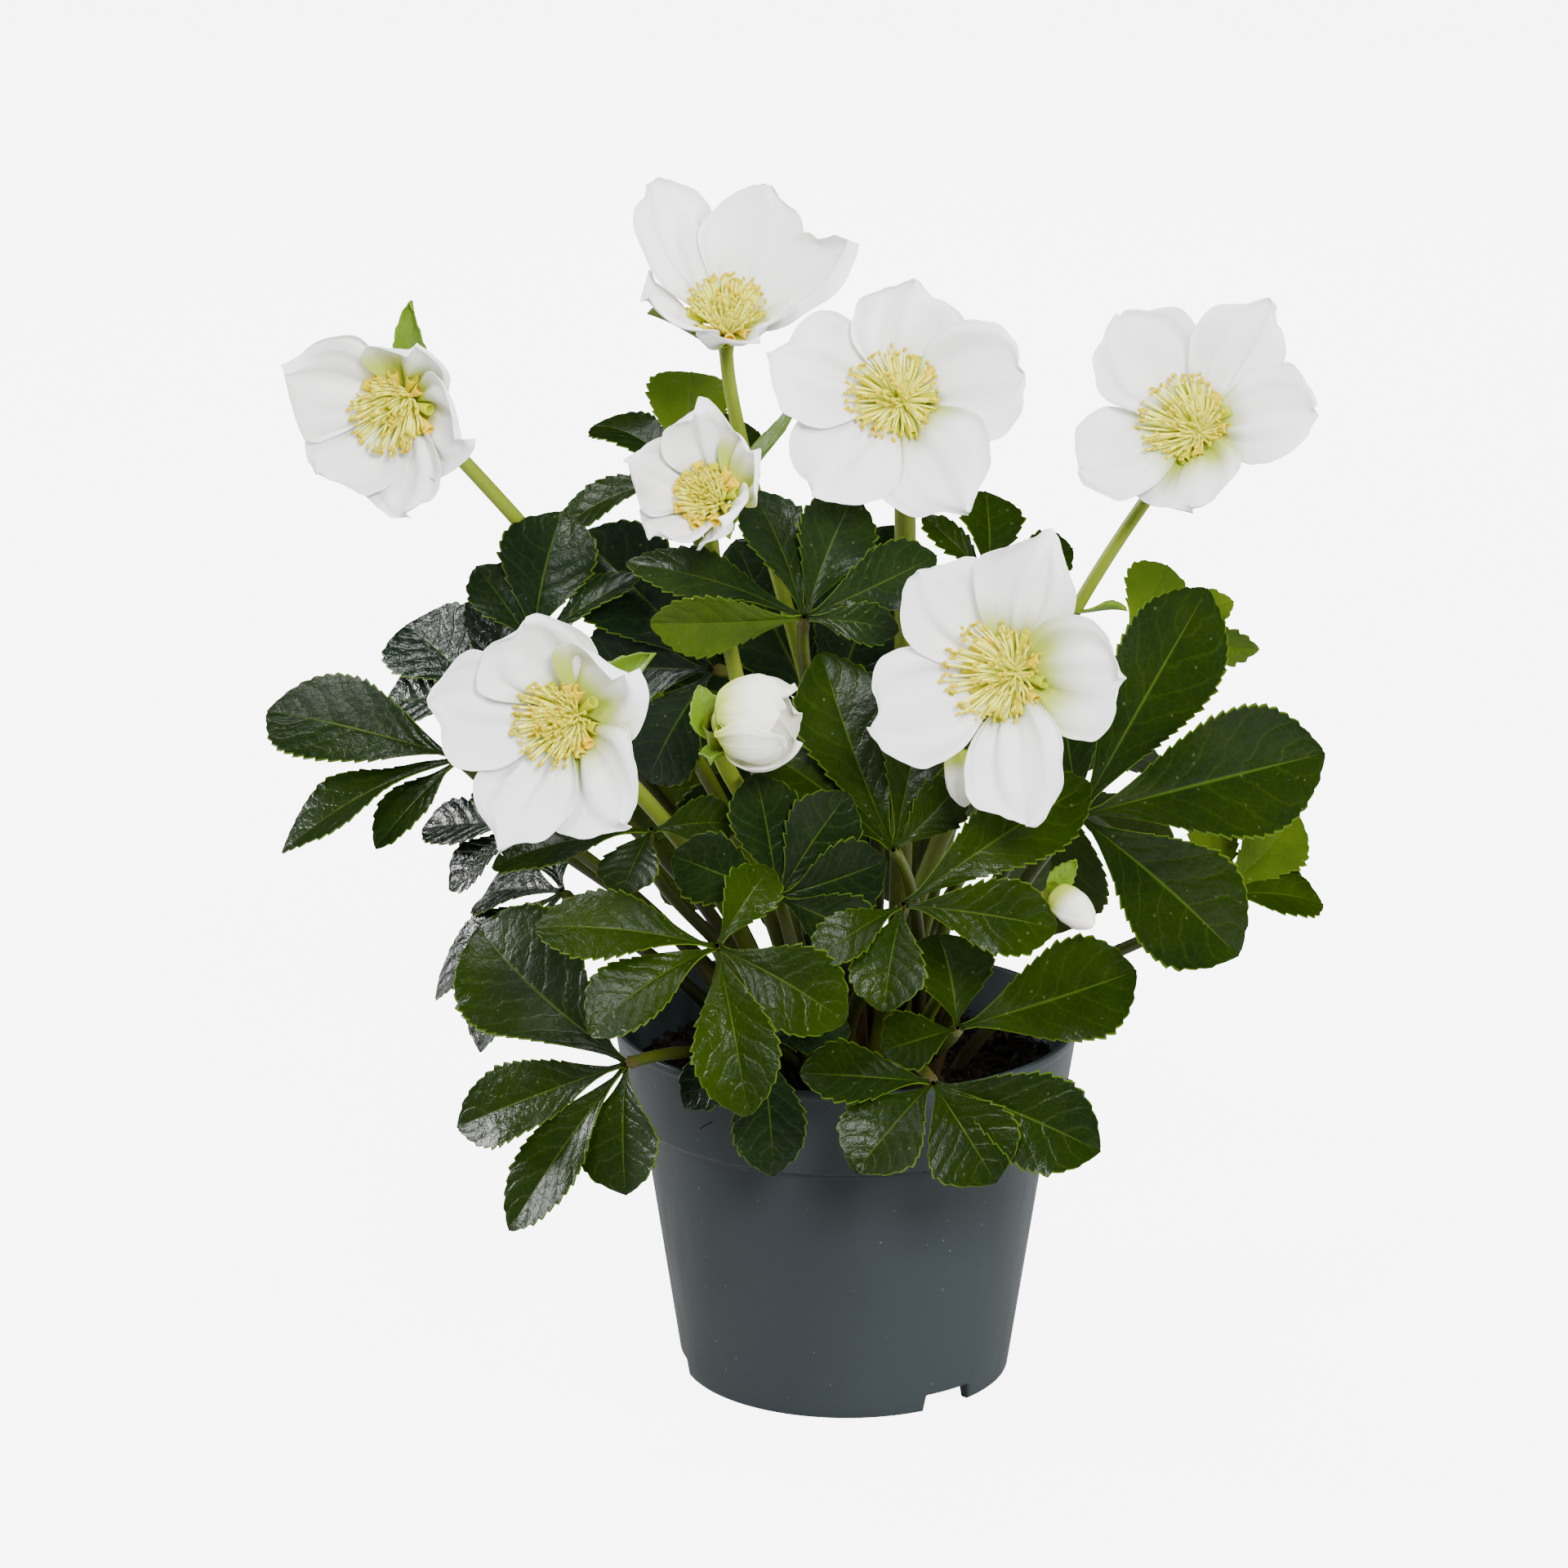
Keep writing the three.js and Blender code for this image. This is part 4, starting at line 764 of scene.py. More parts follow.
def growLeaflet(leaf, axes, leaflet, dice):
    given = dict(zip(("angle", "length", "width", "roll", "fresh"), leaflet))
    length, width = given["length"], given.get("width", leafForm["width"])
    fresh = given.get("fresh", leaf["fresh"])
    along = inPlane(axes, given["angle"])
    rows, cut = toothedRows(length)
    u, v = rows[:, None], bladeColumns[None]
    off = np.abs(v)
    outline = np.maximum(0, np.sin(math.pi * rows ** 1.7)) ** 0.8
    stalkHalf = leafForm["stalkHalfWidth"] * (1 - rows) ** 0.5 + 0.03
    half = np.maximum(leafForm["broad"] * width * length / 2 * outline, stalkHalf)[:, None]
    plain = len(leafForm["plainRows"])
    uneven = dice.uniform(*leafForm["toothVaries"], (len(rows), 2))
    uneven = np.repeat(uneven[plain:-1:3], 3, axis=0)[:len(rows) - plain - 1]
    uneven = np.concatenate([np.ones((plain, 2)), uneven, np.ones((1, 2))])
    tooth = np.where(v < 0, (cut * uneven[:, 0])[:, None], (cut * uneven[:, 1])[:, None])
    toothed = np.clip((u - leafForm["toothStart"]) / 0.8, 0, 1)
    depth = leafForm["toothDepth"] * np.sin(math.pi * toothed) ** 0.35
    across = np.sign(v) * (half * off + (tooth - 0.35) * depth * off ** 7)
    swing = dice.uniform(0, math.tau, 4)
    waves = [np.sin(math.tau * dice.uniform(*leafForm["waves"]) * u + swing[side]) for side in (0, 1)]
    order = (u - 0.25 * off ** 1.25 + 0.03 * np.sin(5 * u + swing[2])) * leafLook["veins"]
    puckers = leafForm["pucker"] * leaf["wrinkle"] * np.cos(math.tau * order) * off * (1 - off ** 3)
    lift = (math.tan(math.radians(leafForm["fold"])) * half * (np.sqrt(off ** 2 + 0.006) - 0.077)
            + leafForm["wave"] * length * np.where(v < 0, *waves) * off ** 2 * np.sin(math.pi * u) ** 0.6
            + puckers * outline[:, None])
    blade = dict(root=leaf["middle"] + along * leafForm["rootGap"], along=along,
                 normal=turned(axes[2], along, leafForm["roll"] + given.get("roll", 0)),
                 length=length - leafForm["rootGap"] - leafForm["tipGap"], rise=leaf["rise"],
                 droop=leaf["droop"] + dice.uniform(*leafForm["droopVaries"]))
    points = bladePoints(blade, u + 0 * v, across, lift)
    bow = dice.uniform(-leafForm["bow"], leafForm["bow"]) * length * np.sin(math.pi * u) * np.ones_like(v)
    points = points + np.cross(blade["normal"], along) * bow[..., None]
    rib = np.exp(-(across / leafForm["ribWidth"]) ** 2) * (1 - 0.7 * u)
    thin = leafForm["thickness"] / 2 * (1 - 0.35 * off ** 2) + 0 * u
    varies = leafForm["freshVaries"]
    tone = (fresh + dice.uniform(-varies, varies), leaf["cool"] * (1 - fresh), leaf["wrinkle"])
    return thickSheet(points, thin - leafForm["ribAbove"] * rib, thin + leafForm["ribBelow"] * rib, u, v,
                      np.clip(tone, 0, 1))


def nearEnd(t, reach, at=1):
    return np.exp(-((t - at) / reach) ** 2)


def growLeaf(name, leaf, dice):
    axes = lookingFrame(leaf["looks"])
    for key, low, high in (("fresh", 0.1, 0.6), ("cool", 0.1, 0.8), ("wrinkle", 0.15, 0.4)):
        leaf[key] = leaf.get(key, dice.uniform(low, high))
    blades = [growLeaflet(leaf, axes, one, dice) for one in leaf["leaflets"]]
    upper = looks["leafGlossy" if leaf["wrinkle"] * leaf["cool"] > 0.6 else "leafUpper"]
    makePiece(name + "_blades", blades, [upper, looks["leafUnder"], looks["leafUnder"]], [name])
    arrival = lookingFrame(leaf.get("arrives", leaf["looks"]))[2]
    path = stemPath(name, leaf, leaf["middle"] + arrival * 0.6, 0.3, leafForm["stalkSteps"])
    t = np.linspace(0, 1, len(path))
    low, high = leafForm["stalkRadius"]
    radii = low + (high - low) * t + leafForm["stalkSwell"] * nearEnd(t, 0.03, 0.99)
    radii[-1] *= 0.3
    purple = 0.12 + 0.6 * nearEnd(t, 0.06) + 0.45 * nearEnd(t, 0.3, 0)
    sides = leafForm["stalkSides"]
    # red stays low along the stalk and rises only towards the leaf: the dark lower part is painted shade of the
    # plant's middle
    tone = np.repeat(np.stack([0.02 + 0.3 * t ** 3, purple, t], -1), sides, axis=0)
    makePiece(name + "_stalk", [tube(path, radii, sides, tone)], [looks["stalk"]], [name])


for seed, (name, leaf) in enumerate(leaves.items(), seeds["leaves"]):
    growLeaf(name, leaf, np.random.default_rng(seed))
print("leaves:", len(leaves))

sepalForm = {
    "thickness": 0.45, "rootRadius": 3, "wrap": 0.85, "cup": 0.012, "overlap": 1.9, "ruffle": 1.8, "pleat": 1.4,
    "rib": 0.16, "scallop": 0.055, "tipScallop": 0.038, "columns": 37, "rows": 42, "tipRows": 12,
    "tipStart": 0.86, "seat": 1.7,
    "receptacle": [(-1.9, 0.02), (-1.9, 2.4), (-1.2, 3.6), (0.0, 4.3), (0.9, 4.1), (1.5, 3.2), (1.7, 0.02)],
}


def sepalOutline(u, point):
    # narrow root, broad middle, and a tip between round (0) and drawn to a point (1)
    broadest = 0.56
    broad = 0.06 + 0.94 * np.sin(math.pi / 2 * np.minimum(u / broadest, 1) ** 1.15)
    ending = 0.26 + 0.74 * np.cos(math.pi / 2 * np.clip((u - broadest) / (1 - broadest), 0, 1)) ** 0.75
    last = np.clip((u - 0.78 + 0.1 * point) / (0.22 + 0.1 * point), 0, 1)
    closing = (1 - last ** (2.2 - 0.9 * point)) ** (0.5 + 0.25 * point)
    return np.maximum(np.where(u < broadest, broad, ending) * closing, 0.004)


def ripple(x, paces, swings):
    return sum(size * np.sin(pace * x + swing) for size, pace, swing in zip((1, 0.4, 0.12), paces, swings))


def growSepal(flower, axes, sepal, dice, cream=0.0, ruffle=1.0):
    angle, length, width = sepal[:3]
    along = inPlane(axes, angle)
    steep, level = flower["opens"]
    tipRows, tipStart, rootRadius = (sepalForm[key] for key in ("tipRows", "tipStart", "rootRadius"))
    rows = np.concatenate([np.linspace(0, tipStart, sepalForm["rows"] - tipRows),
                           tipStart + (1 - tipStart) * np.sin(np.linspace(0.12, math.pi / 2, tipRows))])
    u, v = rows[:, None], np.sin(np.linspace(-1, 1, sepalForm["columns"]) * math.pi / 2)[None]
    point = sepal[3] if len(sepal) > 3 else dice.uniform(0, 0.25)
    half = width / 2 * sepalOutline(rows, point)[:, None]
    half = np.maximum(half, 0.66 * (rootRadius + u * length) * np.clip(1 - u / 0.2, 0, 1))
    swing = dice.uniform(0, math.tau, 12)
    beat = dice.uniform(0.8, 1.25, 8)
    scallop = np.where(v < 0, ripple(u, (7 * beat[0], 17 * beat[1], 41), swing[:3]),
                       ripple(u, (7 * beat[2], 17 * beat[3], 41), swing[3:6]))
    across = half * v * (1 + sepalForm["scallop"] * scallop * np.abs(v) * np.clip(u * 2 - 0.3, 0, 1))
    tip = np.clip((u - 0.55) / 0.45, 0, 1) ** 2
    turns = ripple(2 * half / width * v, (5 * beat[4], 10 * beat[5], 27), swing[6:9])
    reach = np.minimum(u * (1 - sepalForm["tipScallop"] * (1.3 + turns) * tip), 1)
    edge = np.abs(v) ** 2.2 * np.clip(u * 1.6 - 0.2, 0, 1)
    waves = np.where(v < 0, np.sin(8 * beat[6] * u + swing[9]), np.sin(8 * beat[7] * u + swing[10]))
    pleats = np.cos(7.5 * beat[5] * v + swing[8]) + 0.5 * np.cos(13 * v + swing[6])
    pleats = pleats * np.sin(math.pi * np.clip(u, 0, 1) ** 0.8) ** 1.5 * (1 - 0.5 * v * v)
    ribs = np.cos(31 * v) * np.clip(u * 4, 0, 1) * np.clip((1 - u) * 2, 0, 1)
    lift = (sepalForm["overlap"] * v * np.minimum(1, 5 * u) + sepalForm["rib"] * ribs
            + ruffle * sepalForm["ruffle"] * (waves * edge + 0.7 * np.sin(4.5 * v + swing[11]) * tip)
            + ruffle * sepalForm["pleat"] * pleats)

    def curl(forward, a):
        return sepalForm["cup"] + sepalForm["wrap"] * np.sin(a) / (rootRadius + forward)

    blade = dict(root=flower["middle"] + along * rootRadius, along=along, normal=axes[2], length=length,
                 rise=steep, droop=steep - level, curl=curl)
    points = bladePoints(blade, reach, across, lift)
    thin = sepalForm["thickness"] / 2 * (1 - 0.5 * v ** 2) * (1 - 0.3 * u)
    most, side = flower.get("green", (0.3, angle))
    facing = max(0, math.cos(math.radians(angle - side)))
    tone = (most * (0.25 + 0.75 * facing) * dice.uniform(0.85, 1.15), cream, dice.uniform())
    return thickSheet(points, thin, thin, u, v, np.clip(tone, 0, 1), (0, 0, 0))


def makeSepals(name, plant, axes, parts, receptacle=True):
    if receptacle:
        parts = parts + [spun(plant["middle"], axes[2], sepalForm["receptacle"], 20, (0.9, 0.05, 0), 1)]
    makePiece(name + "_sepalsFine", parts, [looks["sepal"], looks["stalk"]], [name + "_sepals"])


centreForm = {
    "base": 2.0, "domeRadius": 3.9, "domeHeight": 3.2, "outer": 88, "inner": 13, "reach": (10.6, 13.0),
    "leans": (16, 68), "innerReach": (5.5, 9.5), "innerLeans": (6, 26), "filament": (0.42, 0.26),
    "anther": (1.8, 0.54), "nectaries": 12, "nectaryLength": 9.2, "styles": 6, "steps": 8,
    "styleRadii": (0.8, 0.66, 0.45, 0.36, 0.32, 0.3, 0.12),
    "dome": [(0, 0.02), (0, 3.9), (1.2, 3.8), (2.4, 3.0), (3.1, 1.6), (3.2, 0.02)],
    "bean": [(0, 0.05), (0.06, 0.6), (0.28, 0.98), (0.5, 0.88), (0.72, 1.0), (0.94, 0.6), (1, 0.05)],
    "cup": [(0, 0.4), (0.3, 0.9), (0.65, 1.4), (0.92, 1.6), (1, 1.5), (0.94, 1.25), (0.7, 1.1), (0.55, 0.05)],
}


def growStamen(parts, base, axes, turn, lean, rise, length, anther, bend, dice):
    out, outward = axes[2], spoke(axes, turn)
    sideways = np.cross(out, outward)
    wide, high = centreForm["domeRadius"], centreForm["domeHeight"]
    foot = base + outward * wide * math.sin(rise) + out * high * math.cos(rise)
    heading = out * math.cos(lean) + outward * math.sin(lean)
    steps = centreForm["steps"]
    t = np.linspace(0, 1, steps)[:, None]
    bowed = np.sin(math.pi * t) * length * dice.uniform(-0.02, 0.10)
    curve = dice.normal(0, 0.5)
    path = foot + heading * length * t + out * bowed + sideways * curve * t * t * 1.6 + bend * t * t
    radii = np.linspace(*centreForm["filament"], steps)
    parts.append(tube(path, radii, 6, (dice.uniform(0, 0.45), 0, 0), 1))
    long, thick = centreForm["anther"]
    long, thick = long * anther * dice.uniform(0.85, 1.15), thick * anther * dice.uniform(0.85, 1.1)
    tilt = unit(heading * 0.6 + outward * dice.normal(0, 0.5) + sideways * dice.normal(0, 0.7) + out * 0.3)
    profile = [(long * (d - 0.45), thick * r) for d, r in centreForm["bean"]]
    parts.append(spun(path[-1], tilt, profile, 8, (dice.uniform(0, 1), 0, 0), 0))


def growCentre(name, flower, axes, dice):
    form = centreForm
    closeness = 1 - flower["opens"][1] / 170  # a cupped flower holds its stamens close
    out = axes[2]
    base = flower["middle"] + out * form["base"]
    parts = [spun(base, out, form["dome"], 18, (0.8, 0, 0), 2)]
    inner = round(form["inner"] * (1 + 3 * flower.get("young", 0.3)))
    grown = flower.get("centre", 1)
    anther = 0.4 + 0.6 * grown
    bend = inPlane(axes, flower["bends"][0]) * flower["bends"][1]
    low, high = form["leans"]
    for k in range(form["outer"]):
        share = (k + 0.5) / form["outer"]
        lean = math.radians(low + (high - low) * share ** 0.34) * closeness + dice.uniform(-0.06, 0.06)
        rise = math.radians(48 + 40 * share)
        turn = k * goldenTurn + dice.uniform(-0.1, 0.1)
        length = dice.uniform(*form["reach"]) - 2.2 * math.sin(rise) * (1 - 0.3 * share)
        growStamen(parts, base, axes, turn, lean, rise, grown * length, anther, bend, dice)
    low, high = form["innerLeans"]
    for k in range(inner):
        share = (k + 0.5) / inner
        lean = math.radians(low + (high - low) * share) * closeness + dice.uniform(-0.05, 0.05)
        length = grown * dice.uniform(*form["innerReach"])
        growStamen(parts, base, axes, k * goldenTurn + 0.7, lean, math.radians(14 + 36 * share), length,
                   1.15 * anther, 0.5 * bend, dice)
    for k in range(form["nectaries"]):
        outward = spoke(axes, math.tau * k / form["nectaries"] + dice.uniform(-0.12, 0.12))
        heading = unit(outward * (0.35 + 0.65 * closeness) + out * 0.42)
        long = form["nectaryLength"] * dice.uniform(0.85, 1.12) * anther
        cup = [(long * d, r) for d, r in form["cup"]]
        tone = (dice.uniform(0, 1) ** 1.5, 0, 0)
        parts.append(spun(base + outward * 3.5 + out * 0.2, heading, cup, 12, tone, 2))
    t = np.linspace(0, 1, len(form["styleRadii"]))[:, None]
    for k in range(form["styles"]):
        path = base + spoke(axes, math.tau * k / form["styles"]) * (0.9 + 1.3 * t ** 2) + out * (2.4 + 7.4 * t)
        parts.append(tube(path, form["styleRadii"], 7, (0.9, 0, 0), 1))
    materials = [looks["anther"], looks["filament"], looks["nectary"]]
    makePiece(name + "_centreFine", parts, materials, [name + "_centre"])


stemForm = {"sides": 16, "steps": 60, "flare": 1.1, "bractRows": 26, "bractColumns": 13,
            "bractThickness": 0.44, "bractRise": 36, "bractDroop": -10}


def growBract(path, axes, bract, dice):
    angle, length, width, below = bract
    left = np.append(np.cumsum(np.linalg.norm(np.diff(path[::-1], axis=0), axis=1))[::-1], 0)
    at = int(np.argmin(np.abs(left - below)))
    axis = unit(path[min(at + 1, len(path) - 1)] - path[at - 1])
    along = inPlane(axes, angle)
    along = unit(along - axis * np.dot(along, axis))
    rows = np.linspace(0, 1, stemForm["bractRows"])
    u, v = rows[:, None], np.linspace(-1, 1, stemForm["bractColumns"])[None]
    half = (width / 2 * np.maximum(np.sin(math.pi * rows ** 0.8), 0) ** 0.8 + 0.05)[:, None]
    saw = (np.arange(len(rows)) % 4 / 3 - 0.4)[:, None] * 0.5 * (u > 0.35) * (u < 0.97)
    across = np.sign(v) * (half * np.abs(v) + saw * np.abs(v) ** 6)
    lift = 0.14 * width * v * v + 0.9 * np.sin(6 * u + dice.uniform(0, 6)) * v * v - 1.8 * u ** 5
    blade = dict(root=path[at], along=along, normal=axis, length=length,
                 rise=stemForm["bractRise"], droop=stemForm["bractDroop"])
    points = bladePoints(blade, u + 0 * v, across, lift)
    thin = stemForm["bractThickness"] / 2 * (1 - 0.3 * v * v) + 0 * u
    return thickSheet(points, thin, thin, u, v, (0.8, 0.05, 0), (1, 1, 1))


def growStem(name, plant, axes, dice, seat):
    sides = stemForm["sides"]
    path = stemPath(name, plant, plant["middle"] - axes[2] * seat, 0.2, stemForm["steps"])
    t = np.linspace(0, 1, len(path))
    radii = plant["stem"] * (1.08 - 0.14 * t) + stemForm["flare"] * nearEnd(t, 0.03)
    # red rises from low at the foot to full light above: the darker foot is painted shade of the plant's middle
    tone = np.stack([0.12 + 0.88 * np.clip(t * 1.6 - 0.25, 0, 1), 0.06 + 0.15 * nearEnd(t, 0.1), t], -1)
    parts = [tube(path, radii, sides, np.repeat(tone, sides, axis=0))]
    parts += [growBract(path, axes, bract, dice) for bract in plant["bracts"]]
    makePiece(name + "_stemFine", parts, [looks["stalk"], looks["bract"]], [name + "_stem"])


for seed, (name, flower) in enumerate(flowers.items(), seeds["flowers"]):
    dice = np.random.default_rng(seed)
    axes = lookingFrame(flower["looks"])
    makeSepals(name, flower, axes, [growSepal(flower, axes, one, dice) for one in flower["sepals"]])
    growCentre(name, flower, axes, dice)
    growStem(name, flower, axes, dice, sepalForm["seat"])
print("flowers:", len(flowers))

budForm = {
    "opens": (10, 152), "arc": 1.24, "share": 1.22, "green": (0.9, 180), "cream": 0.55, "ruffle": 0.3,
    "folds": 5, "foldDepth": 0.09, "twist": 1.1, "rows": 26, "sides": 60,
    "egg": [(0, 0), (0.03, 0.3), (0.12, 0.4), (0.25, 0.47), (0.5, 0.5), (0.66, 0.45), (0.8, 0.36),
            (0.92, 0.2), (0.98, 0.1), (1, 0.004)],
}


def growBud(name, bud, dice):
    axes = lookingFrame(bud["looks"])
    length, width = bud["length"], bud["width"]
    if bud["open"]:
        one = dict(bud, opens=budForm["opens"], green=budForm["green"])
        wraps = [(72 * i, length * budForm["arc"], width * budForm["share"], 0.1) for i in range(5)]
        parts = [growSepal(one, axes, wrap, dice, budForm["cream"], budForm["ruffle"]) for wrap in wraps]
    else:
        d = np.linspace(0, 1, budForm["rows"])
        profile = np.stack([d * length, np.interp(d, *np.array(budForm["egg"]).T) * width], -1)
        profile[0, 1] = 0.02

        def wrapped(turn, step):
            fold = (turn / math.tau * budForm["folds"] + step * budForm["twist"]) % 1
            return 1 - budForm["foldDepth"] * fold * np.sin(math.pi * step) ** 0.5

        parts = [spun(bud["middle"], axes[2], profile, budForm["sides"], (0.5, 0.6, 0), 0, wrapped)]
    makeSepals(name, bud, axes, parts, bud["open"])
    growStem(name, bud, axes, dice, sepalForm["seat"] if bud["open"] else 0)


for seed, (name, bud) in enumerate(buds.items(), seeds["buds"]):
    growBud(name, bud, np.random.default_rng(seed))
print("buds:", len(buds))


def collarRadius(z):
    return pot["rimRadius"] - (pot["height"] - z) * pot["wallSlope"]


def bodyRadius(z):
    return collarRadius(z) - pot["collarStep"]


def rounded(profile, cut, steps=3):
    # softens each corner of an outline
    corners = [np.array(p, float) for p in profile]
    out = [corners[0]]
    for a, p, b in zip(corners, corners[1:], corners[2:]):
        spans = [(q - p, np.linalg.norm(q - p)) for q in (a, b)]
        before, after = (p + span * min(cut, size * 0.45) / size for span, size in spans)
        for t in np.linspace(0, 1, steps + 1):
            out.append(before * (1 - t) ** 2 + p * 2 * t * (1 - t) + after * t * t)
    return np.array(out + [corners[-1]])


def lathe(outline, sides, tone):
    r, z = outline.T[..., None]
    turns = ringTurns(sides)
    return skin(np.stack([r * np.cos(turns), r * np.sin(turns), z + 0 * turns], -1), turns, tone, 0, True)


def drilled(shell, low, high):
    # opens round drain holes through the floor: its rows from `low` lie under those from `high`, reversed
    sides, last = pot["sides"], pot["drainRows"] - 1
    points, quads = shell["points"], shell["quads"]
    middles = points[quads].mean(1)
    turns = np.radians(np.arange(pot["drains"]) * 360 / pot["drains"])
    centres = pot["drainRing"] * np.stack([np.cos(turns), np.sin(turns)], -1)
    apart = np.linalg.norm(middles[:, None, :2] - centres[None], axis=2).min(1)
    inFloor = np.zeros(len(quads), bool)
    for start in (low, high):
        inFloor[start * sides:(start + last) * sides] = True
    gone = inFloor & (apart < pot["drainRadius"])
    for i in np.intersect1d(quads[gone], quads[~gone]):
        centre = centres[np.argmin(np.linalg.norm(centres - points[i, :2], axis=1))]
        points[i, :2] = centre + unit(points[i, :2] - centre) * pot["drainRadius"]
    walls = []
    for one in quads[gone & (np.arange(len(quads)) < (low + last) * sides)]:
        for a, b in zip(one, np.roll(one, -1)):
            above = [(high + last - (k // sides - low)) * sides + k % sides for k in (b, a)]
            walls.append([a, b, *above])
    edges = [tuple(sorted(wall[:2])) for wall in walls]
    walls = [wall for wall, edge in zip(walls, edges) if edges.count(edge) == 1]
    return part(points, np.concatenate([quads[~gone], np.array(walls)]), shell["form"], (0, 0, 0))


def makePot():
    height, floorHeight, wall, rim = pot["height"], pot["floorHeight"], pot["wall"], pot["rimRadius"]
    collarFoot = height - pot["collarHeight"]
    lipFoot = height - pot["lipHeight"]
    footOut = bodyRadius(0)
    footIn = footOut - pot["footWidth"]
    floorTop = floorHeight + pot["floorThickness"]

    def inside(z):
        return (collarRadius(z) if z > collarFoot + 2 else bodyRadius(z)) - wall, z

    outline = rounded([
        (0.02, 0), (pot["padRadius"], 0), (pot["padRadius"] + 2, floorHeight), (footIn, floorHeight),
        (footIn, 0), (footOut, 0), *((bodyRadius(z), z) for z in (*pot["wallRows"], collarFoot - 2)),
        (collarRadius(collarFoot), collarFoot), (collarRadius(lipFoot), lipFoot), (rim, lipFoot + 0.5),
        (rim, height), (inside(height)[0] - 0.3, height), inside(collarFoot + 4), inside(collarFoot),
        inside(floorTop), (0.02, floorTop)], pot["rounding"])
    count = pot["drainRows"]
    under = pot["drainRing"] + pot["drainRadius"] * np.linspace(-1.2, 1.2, count)
    low = int(np.argmax((outline[:, 0] > under[-1]) & (outline[:, 1] > floorHeight - 0.1)))
    for at, radii, z in ((low, under, floorHeight), (len(outline) + count - 1, under[::-1], floorTop)):
        outline = np.insert(outline, at, np.stack([radii, np.full(count, z)], -1), axis=0)
    shell = drilled(lathe(outline, pot["sides"], (0, 0, 0)), low, len(outline) - count - 1)
    points = shell["points"]
    turn = np.degrees(np.arctan2(points[:, 1], points[:, 0]))
    ring = np.hypot(points[:, 0], points[:, 1]) > footIn - 1
    for notch in pot["notches"]:
        offset = np.abs((turn - notch + 180) % 360 - 180)
        wide = math.degrees(pot["notchWidth"] / 2 / footOut)
        points[ring & (offset < wide) & (points[:, 2] < pot["notchHeight"]), 2] = pot["notchHeight"]
    makePiece("pot_shell", [shell], [looks["pot"]], ["pot"])


def lumpyNoise(points, size, dice, count=30):
    # a smooth random height over x and y
    height = np.zeros(len(points))
    for _ in range(count):
        heading = dice.uniform(0, math.tau)
        pace = math.tau / (size * dice.uniform(0.6, 1.8))
        across = points[:, 0] * math.cos(heading) + points[:, 1] * math.sin(heading)
        height += np.sin(across * pace + dice.uniform(0, 6.3))
    return height / math.sqrt(count)


peatForm = {
    "rings": 70, "sides": 220, "lumps": 1.0, "bumps": ((0.55, 14), (0.35, 4), (0.2, 1.8)), "sinks": 0.4,
    "crumbs": 1500, "crumb": (0.5, 2.1),
    "crumbShape": ((-1, 0.05), (-0.6, 0.7), (0.1, 1), (0.7, 0.6), (1, 0.05)),
    "fibres": 90, "fibreLength": (4, 13), "fibreRadius": (0.12, 0.3), "fibreBow": 1.6, "gap": 0.5,
}


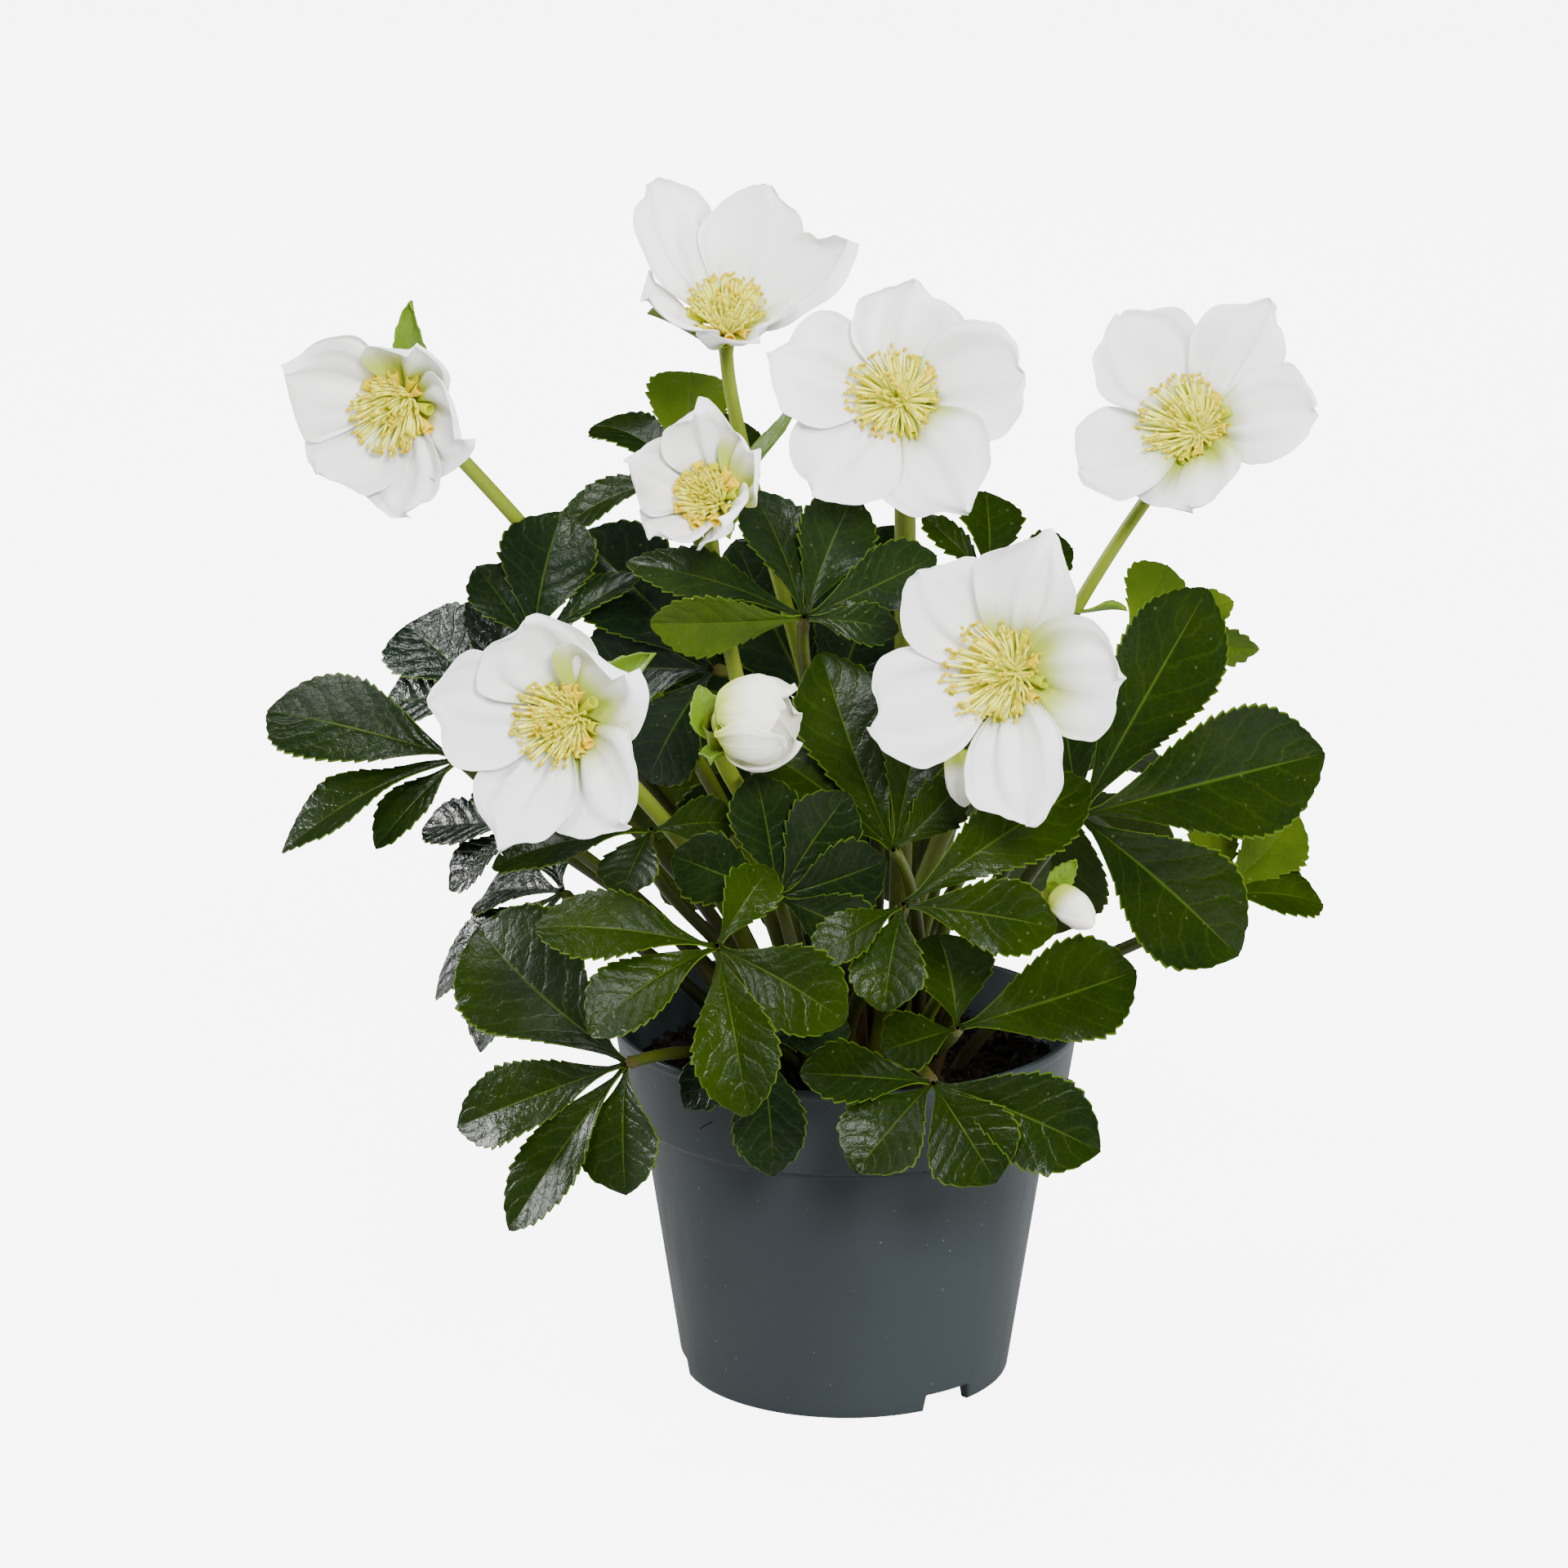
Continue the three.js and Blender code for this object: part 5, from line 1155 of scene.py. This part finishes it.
def makePeat():
    dice = np.random.default_rng(seeds["peat"])
    top, level = soil["top"], soil["level"]
    collarFoot = pot["height"] - pot["collarHeight"]
    wall = collarRadius(top) - pot["wall"] - 0.4
    floor = pot["floorHeight"] + pot["floorThickness"] + peatForm["gap"]
    inset = pot["wall"] + peatForm["gap"]

    def ground(r):
        return top - soil["edgeDrop"] * np.maximum(0, r - level) / (wall - level)

    def scattered(outermost):
        ring, turn = wall * math.sqrt(dice.uniform(0.02, outermost)), dice.uniform(0, math.tau)
        return ring, ring * math.cos(turn), ring * math.sin(turn)

    r = np.linspace(0.02, wall, peatForm["rings"])[::-1]
    low = [(0.02, floor), (bodyRadius(floor) - inset, floor), (bodyRadius(collarFoot) - inset, collarFoot)]
    body = lathe(np.concatenate([np.array(low), np.stack([r, ground(r)], -1)]), peatForm["sides"], (0.3, 0, 0))
    points = body["points"]
    bumps = sum(share * lumpyNoise(points, size, dice) for share, size in peatForm["bumps"])
    raised = points[:, 2] > top - 4
    points[raised, 2] += peatForm["lumps"] * bumps[raised] - peatForm["sinks"]
    parts = [body]
    least, most = peatForm["crumb"]
    for _ in range(peatForm["crumbs"]):
        ring, x, y = scattered(0.96)
        size = dice.uniform(0, 1) ** 2.5 * (most - least) + least
        axis = unit(dice.normal(0, 1, 3))
        lump = [(d * size * 1.3, q * size * dice.uniform(0.7, 1.2)) for d, q in peatForm["crumbShape"]]
        parts.append(spun(np.array([x, y, ground(ring) + 0.2]), axis, lump, 6, (dice.uniform() ** 2, 0, 0)))
    t = np.linspace(0, 1, 7)[:, None]
    for _ in range(peatForm["fibres"]):
        ring, x, y = scattered(0.9)
        heading = dice.uniform(0, math.tau)
        long = dice.uniform(*peatForm["fibreLength"])
        path = np.array([x, y, top - 0.6]) + np.array([math.cos(heading), math.sin(heading), 0]) * long * t
        path = path + np.array([0, 0, peatForm["fibreBow"]]) * np.sin(math.pi * t) * dice.uniform(0.3, 1)
        radii = np.full(len(t), dice.uniform(*peatForm["fibreRadius"]))
        parts.append(tube(path, radii, 5, (dice.uniform(0.6, 1), 0, 0)))
    makePiece("peat", parts, [looks["peat"]], ["soil"])


makePot()
makePeat()
print("pot and peat")

floorForm = {"size": 40, "sinks": 0.0002, "paper": (0.40, 0.40, 0.40), "shade": (0.37, 0.37, 0.37), "glow": 6.5}


def makeFloor():
    mesh = bpy.data.meshes.new("floor")
    half = floorForm["size"] / 2
    corners = [(-half, -half, 0), (half, -half, 0), (half, half, 0), (-half, half, 0)]
    mesh.from_pydata(corners, [], [(0, 1, 2, 3)])
    material, place = startMaterial("floor paper", 0.9, 0.1)
    nodes = material.node_tree.nodes
    shader = nodes["Principled BSDF"]
    paper = blended(noise(place, 3, 2), floorForm["paper"], floorForm["shade"])
    # a white sweep that looks overlit, as it would behind a plant in a studio
    glow, both, seen = (newNode(place, kind) for kind in ("Emission", "AddShader", "MixShader"))
    fromCamera = newNode(place, "LightPath").outputs["Is Camera Ray"]
    for socket, value in ((shader.inputs["Base Color"], paper), (glow.inputs["Strength"], floorForm["glow"]),
                          (both.inputs[0], shader.outputs[0]), (both.inputs[1], glow.outputs[0]),
                          (seen.inputs[0], fromCamera), (seen.inputs[1], shader.outputs[0]),
                          (seen.inputs[2], both.outputs[0]),
                          (nodes["Material Output"].inputs["Surface"], seen.outputs[0])):
        put(socket, value)
    mesh.materials.append(material)
    floor = bpy.data.objects.new("floor", mesh)
    floor.location.z = -floorForm["sinks"]
    bpy.context.scene.collection.objects.link(floor)


makeFloor()
